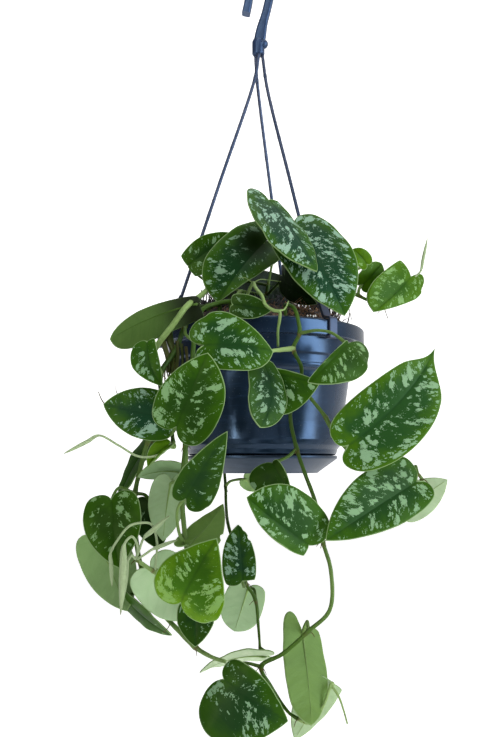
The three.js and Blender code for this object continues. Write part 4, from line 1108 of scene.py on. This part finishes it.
def add_rolled(weave, vine, leaf, seed):
    """A young leaf still rolled up, thickest in the middle and brown at the very tip."""
    index, node, via, base, tip, radius = leaf
    base, tip = np.array(base, float), np.array(tip, float)
    body = [base + (tip - base) * t for t in (0, 0.3, 0.6, 0.95)]
    line = spline([leaf_start(vine, index, node), *via, *body], 10)
    length = lengths_along(line)
    joint = length[index_near(line, base)]
    t = np.clip((length - joint) / (length[-1] - joint), 0, 1)
    radii = 0.75 + (radius - 0.75) * np.sin(math.pi * t ** 0.7) - 0.6 * t ** 6
    add_tube(weave, line, np.maximum(radii, 0.18), STALK, (0.95, 0.8, seed), 0.6 * t ** 20, 10)


def add_hair(weave, points, thick, look, brown=0.0):
    """A thin root, fibre or drawn-out tip, thinner towards its end."""
    line = spline(points, 4)
    add_tube(weave, line, np.linspace(thick, thick * 0.6, len(line)), STALK, look, brown, 5)


def add_roots(weave, vine, rng):
    """Short aerial roots at the nodes, hanging or gripping."""
    for index, (radius, _, _) in enumerate(vine["stems"]):
        for joint in joints_of(vine, index):
            start = leaf_start(vine, index, joint)
            if start[2] > SOIL_CENTRE - 12:  # none at nodes over the soil
                continue
            for _ in range(rng.choice((1, 2, 2))):
                a = rng.uniform(-math.pi, 0)
                way = np.array([math.cos(a), math.sin(a) * 0.8, -0.5])
                first = start + way * (radius + 1.2)
                last = first + way * rng.uniform(1.0, 3.0) + (0, 0, -rng.uniform(0.5, 2.5))
                add_hair(weave, [start, first, last], 0.34, (0.1, 0, rng.random()), 0.8)


def build_vine(name, vine, number):
    rng = random.Random(100 + number)
    weave = Weave()
    for index in range(len(vine["stems"])):
        add_stem(weave, vine, index, number + 0.31 * index)
    for i, leaf in enumerate(vine["leaves"]):
        add_leaf(weave, vine, leaf, number * 1.7 + i * 0.37 + 0.1)
    for i, leaf in enumerate(vine.get("rolled", [])):
        add_rolled(weave, vine, leaf, number + 0.5 + i * 0.21)
    add_roots(weave, vine, rng)
    for thick, tone, brown, points in vine.get("strays", []):
        add_hair(weave, points, thick, (tone, 0, 0.4), brown)
    piece = weave.make(name + "_leafy", FOLIAGE, attributes=("place", "look", "cast"))
    settle(piece, "foliage", name)


for number, (name, vine) in enumerate(VINES.items()):
    build_vine(name, vine, number)


# ---- pot, saucer and soil ----
def cut(piece, cutter):
    """Takes the cutter's shape out of the piece."""
    modifier = piece.modifiers.new("cut", "BOOLEAN")
    modifier.object = cutter
    modifier.operation = "DIFFERENCE"
    modifier.solver = "EXACT"
    graph = bpy.context.evaluated_depsgraph_get()
    mesh = bpy.data.meshes.new_from_object(piece.evaluated_get(graph))
    piece.modifiers.clear()
    piece.data = mesh
    bpy.data.objects.remove(cutter)


def build_pot():
    band_bottom = RIM_TOP - RIM_BAND
    floor_top = FOOT_BOTTOM + WALL
    rib = SHOULDER_BOTTOM - 7
    profile = rounded([
        [0, FOOT_BOTTOM],
        [FOOT_RADIUS - 1.5, FOOT_BOTTOM],
        [FOOT_RADIUS, FOOT_BOTTOM + 1],
        [FOOT_RADIUS + 0.6, FOOT_BOTTOM + 4],
        [BODY_BOTTOM_RADIUS - 1, BODY_BOTTOM - 3.4],
        [BODY_BOTTOM_RADIUS, BODY_BOTTOM],
        [BODY_BOTTOM_RADIUS + 0.8, BODY_BOTTOM + 12],
        [BODY_TOP_RADIUS, NECK_BOTTOM - 2],
        [BODY_TOP_RADIUS + 2, NECK_BOTTOM - 0.4],
        [NECK_RADIUS, NECK_BOTTOM],
        [NECK_RADIUS, rib - 1.2],
        [NECK_RADIUS + 0.5, rib - 0.8],
        [NECK_RADIUS + 0.5, rib + 0.8],
        [NECK_RADIUS, rib + 1.2],
        [NECK_RADIUS, SHOULDER_BOTTOM],
        [SHOULDER_RADIUS, SHOULDER_BOTTOM + 0.6],
        [SHOULDER_RADIUS, band_bottom],
        [RIM_RADIUS, band_bottom],
        [RIM_RADIUS, RIM_TOP - 1],
        [RIM_RADIUS - 1, RIM_TOP],
        [RIM_RADIUS - 4, RIM_TOP],
        [RIM_RADIUS - 4.6, RIM_TOP - 1],
        [SHOULDER_RADIUS - WALL, band_bottom],
        [SHOULDER_RADIUS - WALL, SHOULDER_BOTTOM],
        [BODY_TOP_RADIUS - WALL, NECK_BOTTOM - 2],
        [BODY_BOTTOM_RADIUS - WALL, BODY_BOTTOM],
        [FOOT_RADIUS - WALL, floor_top + 3],
        [FOOT_RADIUS - WALL - 2, floor_top],
        [0, floor_top],
    ])
    body, drills = Weave(), Weave()
    add_lathe(body, profile)
    pot = body.make("pot_shell", [POT_PLASTIC], sharp=50)
    for i in range(DRAIN_HOLES):
        x, y = polar(DRAIN_CIRCLE, 45 + 360 * i / DRAIN_HOLES)
        line = [[x, y, FOOT_BOTTOM - 1], [x, y, floor_top + 1]]
        add_tube(drills, line, DRAIN_RADIUS, sides=32)
    cut(pot, drills.make("drills", [POT_PLASTIC]))
    settle(pot, "pot_plastic", "pot")


def build_saucer():
    weave = Weave()
    add_lathe(weave, rounded([
        [0, SAUCER_BOTTOM],
        [SAUCER_BOTTOM_RADIUS - 1, SAUCER_BOTTOM],
        [SAUCER_BOTTOM_RADIUS, SAUCER_BOTTOM + 1],
        [SAUCER_TOP_RADIUS, SAUCER_TOP - 2],
        [SAUCER_TOP_RADIUS, SAUCER_TOP],
        [SAUCER_TOP_RADIUS - SAUCER_WALL, SAUCER_TOP],
        [SAUCER_BOTTOM_RADIUS - SAUCER_WALL, SAUCER_BOTTOM + SAUCER_WALL],
        [0, SAUCER_BOTTOM + SAUCER_WALL],
    ], 0.5))
    settle(weave.make("saucer_dish", [SAUCER_PLASTIC], sharp=50), "pot_plastic", "saucer")


def soil_height(radius):
    return float(np.interp(radius, *zip(*SOIL_MOUND)))


def shake_soil(verts):
    """Crumbly relief on the part of the soil that shows."""
    for v in verts:
        if v[2] > RIM_TOP - 5:
            rough = noise.fractal(Vector(v * 0.16), 0.8, 2.1, 4)
            v[2] += 1.6 * rough + 0.9 * noise.noise(Vector(v * 0.6))
    return verts


def build_soil():
    loose = WALL + GAP + 0.2
    inner = SHOULDER_RADIUS - WALL - GAP - 0.3
    profile = [
        [0, SOIL_FLOOR],
        [FOOT_RADIUS - WALL - 3, SOIL_FLOOR],
        [FOOT_RADIUS - WALL - GAP, SOIL_FLOOR + 3.4],
        [BODY_BOTTOM_RADIUS - loose, BODY_BOTTOM],
        [BODY_TOP_RADIUS - loose, NECK_BOTTOM - 2],
        [inner, SHOULDER_BOTTOM],
        [inner, RIM_TOP - 8],
    ]
    profile += [[r, soil_height(r)] for r in np.arange(SOIL_EDGE, 0.5, -1.3)]
    weave = Weave()
    add_lathe(weave, [*profile, [0, SOIL_CENTRE]], 200, shake=shake_soil)
    settle(weave.make("soil_peat", [PEAT]), "peat", "soil")


# How many pieces of litter there are, and the shares that lie in one place.
CRUMBS, GRITS, ROOTS = 900, 26, 260
FIBRES, FIBRES_IN_FRONT = 420, 150
TWIGS, TWIGS_AT_LEFT = 320, 70


def add_crumb(weave, centre, size, rng, slot):
    """A lump with six uneven corners."""
    ways = np.vstack([np.eye(3), -np.eye(3)])[[0, 3, 1, 4, 2, 5]]
    verts = [centre + size * rng.uniform(0.6, 1.2) * way + size * 0.25 * rng.random() for way in ways]
    faces = [[0, 2, 4], [2, 1, 4], [1, 3, 4], [3, 0, 4], [2, 0, 5], [1, 2, 5], [3, 1, 5], [0, 3, 5]]
    weave.add(verts, faces, slot)


def on_soil(x, y):
    return np.array([x, y, soil_height(math.hypot(x, y))])


def anywhere(rng):
    """A random place on the soil."""
    r, a = 66.0 * math.sqrt(rng.random()), rng.uniform(-math.pi, math.pi)
    return on_soil(r * math.cos(a), r * math.sin(a))


def add_fibre(weave, rng, foot):
    """A short curled coconut fibre."""
    a, lean = rng.uniform(-math.pi, math.pi), rng.uniform(0.3, 1.6)
    away = np.array([lean * math.cos(a), lean * math.sin(a), rng.uniform(0.3, 1.3)])
    reach = rng.uniform(2, 6)
    curl = np.array([rng.uniform(-1, 1), rng.uniform(-1, 1), rng.uniform(-1.0, 0.4)])
    line = spline([foot - (0, 0, 0.5), foot + away * reach * 0.5, foot + (away + curl) * reach], 3)
    add_tube(weave, line, np.linspace(0.22, 0.10, len(line)) * rng.uniform(0.7, 1.4), FIBRE, sides=4)


def add_twig(weave, rng, foot, spread, heights, sway, thick, slot, share=1):
    """A bent twig or root that stands in the soil."""
    foot = foot - (0, 0, 0.5)
    tip = foot + (rng.uniform(-spread, spread), rng.uniform(-4, 4), rng.uniform(*heights) * share)
    bend = (foot + tip) / 2 + (rng.uniform(-sway, sway), rng.uniform(-sway, sway), 1)
    add_tube(weave, spline([foot, bend, tip], 3), np.linspace(thick, thick / 2, 7), slot, sides=4)


def build_litter():
    """Crumbs of peat and perlite, coconut fibres, and aged roots and twigs lying on the soil, the twigs
    nearly black to paint the shade under the leaves.
    """
    rng = random.Random(7)
    weave = Weave()
    for _ in range(CRUMBS):
        add_crumb(weave, anywhere(rng), rng.uniform(0.5, 1.8), rng, CRUMB)
    for _ in range(GRITS):
        add_crumb(weave, anywhere(rng) + (0, 0, 0.5), rng.uniform(0.5, 1.0), rng, GRIT)
    for place in ((31, -68.5, -285.2), (33, -67.6, -285.4), (29, -69.4, -285.3), (34.5, -67, -285.1)):
        add_crumb(weave, np.array(place), 0.8, rng, GRIT)
    for i in range(FIBRES):
        foot = anywhere(rng)
        if i < FIBRES_IN_FRONT:
            foot = on_soil(rng.uniform(14, 44), -rng.uniform(40, 60))
        add_fibre(weave, rng, foot)
    for _ in range(ROOTS):
        degrees, r = rng.uniform(-30, 215), rng.uniform(30, 62)
        add_twig(weave, rng, on_soil(*polar(r, degrees)), 4, (5, 13), 2, 0.6, CRUMB, r / 60)
    # The tangle under the leaves, densest and tallest at the left, nearly black to paint the shade there.
    for i in range(TWIGS):
        left = i < TWIGS_AT_LEFT
        foot = on_soil(rng.uniform(*((-58, -34) if left else (-50, 52))), rng.uniform(-18, 18))
        add_twig(weave, rng, foot, 7, (6, 18 if left else 14), 3, 0.8, TWIG)
    settle(weave.make("soil_litter", LITTER), "peat")


build_pot()
build_saucer()
build_soil()
build_litter()


# ---- hanger ----
FIRST_BEAD = 24
BEAD_SPACING = 29


def rounded_box(width, depth, radius, steps=4):
    made = []
    for i, (sx, sy) in enumerate([(1, 1), (-1, 1), (-1, -1), (1, -1)]):
        for k in range(steps + 1):
            x, y = polar(radius, 90 * i + 90 * k / steps)
            made.append((sx * (width / 2 - radius) + x, sy * (depth / 2 - radius) + y))
    return made


def build_hook():
    weave = Weave()
    line = spline([[x, 0, z] for x, z in HOOK_LINE], 12)
    section = rounded_box(*HOOK_BAR, HOOK_ROUNDING)
    # The bar grows deeper where it runs into the hub.
    deeper = 1 + 0.35 * smoothstep(line[:, 2], -38, -56) * (line[:, 0] > -5)
    across = np.array([0, 1.0, 0])
    verts = []
    for point, way, share in zip(line, np.gradient(line, axis=0), deeper):
        deep = unit(np.cross(unit(way), across)) * share
        verts += [point + across * a + deep * b for a, b in section]
    weave.add(verts, ring_faces(len(line), len(section)))
    add_lathe(weave, rounded([
        [0, HUB_BOTTOM],
        [HUB_RADIUS - 0.6, HUB_BOTTOM],
        [HUB_RADIUS, HUB_BOTTOM + 0.8],
        [HUB_RADIUS, HUB_TOP - 3],
        [HUB_RADIUS - 1.6, HUB_TOP],
        [0, HUB_TOP],
    ], 0.8), 48, HUB_CENTRE)
    add_lathe(weave, ball_profile(HUB_BALL_RADIUS, HUB_BALL[2], 17), 32, HUB_BALL[:2])
    settle(weave.make("hook_moulding", [HOOK_PLASTIC], sharp=50), "pot_plastic", "hook")


def add_cord(weave, start, bend, end):
    """A strand's round cord, from inside the hub to its strap, with small moulded beads."""
    x, y = start
    bend, end = np.array(bend, float), np.array(end)
    root = [[x, y, HUB_BOTTOM + STRAND_ROOT], [x, y, HUB_BOTTOM + 1]]
    line = np.vstack([root, spline([[x, y, HUB_BOTTOM - 1], bend, (bend + end) / 2, end], 30)])
    length = lengths_along(line)
    radii = STRAND_RADIUS * (1 + 0.03 * np.sin(length * 0.8))
    for at in np.arange(FIRST_BEAD, length[-1] - 10, BEAD_SPACING):
        radii = radii + 0.16 * bump_at(length - at, 1.2)
    add_tube(weave, line, radii, sides=16)


def add_strap(weave, angle):
    """The flat end of a strand, hooked over the rim and in under its band."""
    top, height = STRAP_TOP
    inner = RIM_RADIUS + GAP
    outer = inner + STRAP_THICK
    over = RIM_TOP + GAP
    under = RIM_TOP - RIM_BAND - GAP
    profile = rounded([
        [top - 1.6, height + 2],
        [top + 1, height + 3],
        [65.5, -271],
        [70.5, over + STRAP_THICK + 1.2],
        [outer - 1, over + STRAP_THICK],
        [outer, over + STRAP_THICK - 1],
        [outer, under - STRAP_THICK],
        [inner - STRAP_CATCH, under - STRAP_THICK],
        [inner - STRAP_CATCH, under],
        [inner, under],
        [inner, over],
        [STRAP_LANDING, over],
        STRAP_KNEE,
        [top - 1.6, height + 2],
    ], 0.9)[1:-1]
    radial = np.array([*polar(1, angle), 0])
    beside = np.array([-radial[1], radial[0], 0])
    half = STRAP_WIDTH / 2
    verts = [radial * r + beside * off + (0, 0, z)
             for off in (-half, -half + 0.4, half - 0.4, half) for r, z in profile]
    weave.add(verts, ring_faces(4, len(profile)))


def build_strand(strand):
    weave = Weave()
    top, height = STRAP_TOP
    add_cord(weave, strand["start"], strand["bend"], [*polar(top, strand["angle"]), height])
    add_strap(weave, strand["angle"])
    piece = weave.make(strand["name"] + "_cord", [STRAND_PLASTIC], sharp=50)
    settle(piece, "strand_plastic", strand["name"])


build_hook()
for strand in STRANDS:
    build_strand(strand)


# ---- floor and backdrop ----
def white(name, glow):
    """A white surface that glows, so that it stays evenly bright."""
    look = Look(name)
    return look.finish(look.principled(Base_Color=(0.9, 0.9, 0.9), Roughness=0.95,
                                       Emission_Color=(1, 1, 1), Emission_Strength=glow))


def build_stage():
    mesh = bpy.data.meshes.new("floor")
    mesh.from_pydata([(-9, -9, -1), (9, -9, -1), (9, 9, -1), (-9, 9, -1)], [], [[0, 1, 2, 3]])
    mesh.materials.append(white("floor", 0.7))
    floor = bpy.data.objects.new("floor", mesh)
    weave = Weave()
    add_lathe(weave, ball_profile(12000, 0, 25), 48)
    backdrop = weave.make("backdrop", [white("backdrop", 1.1)])
    backdrop.visible_diffuse = False
    backdrop.visible_glossy = False
    backdrop.visible_transmission = False
    backdrop.visible_shadow = False
    scene.collection.objects.link(floor)


build_stage()
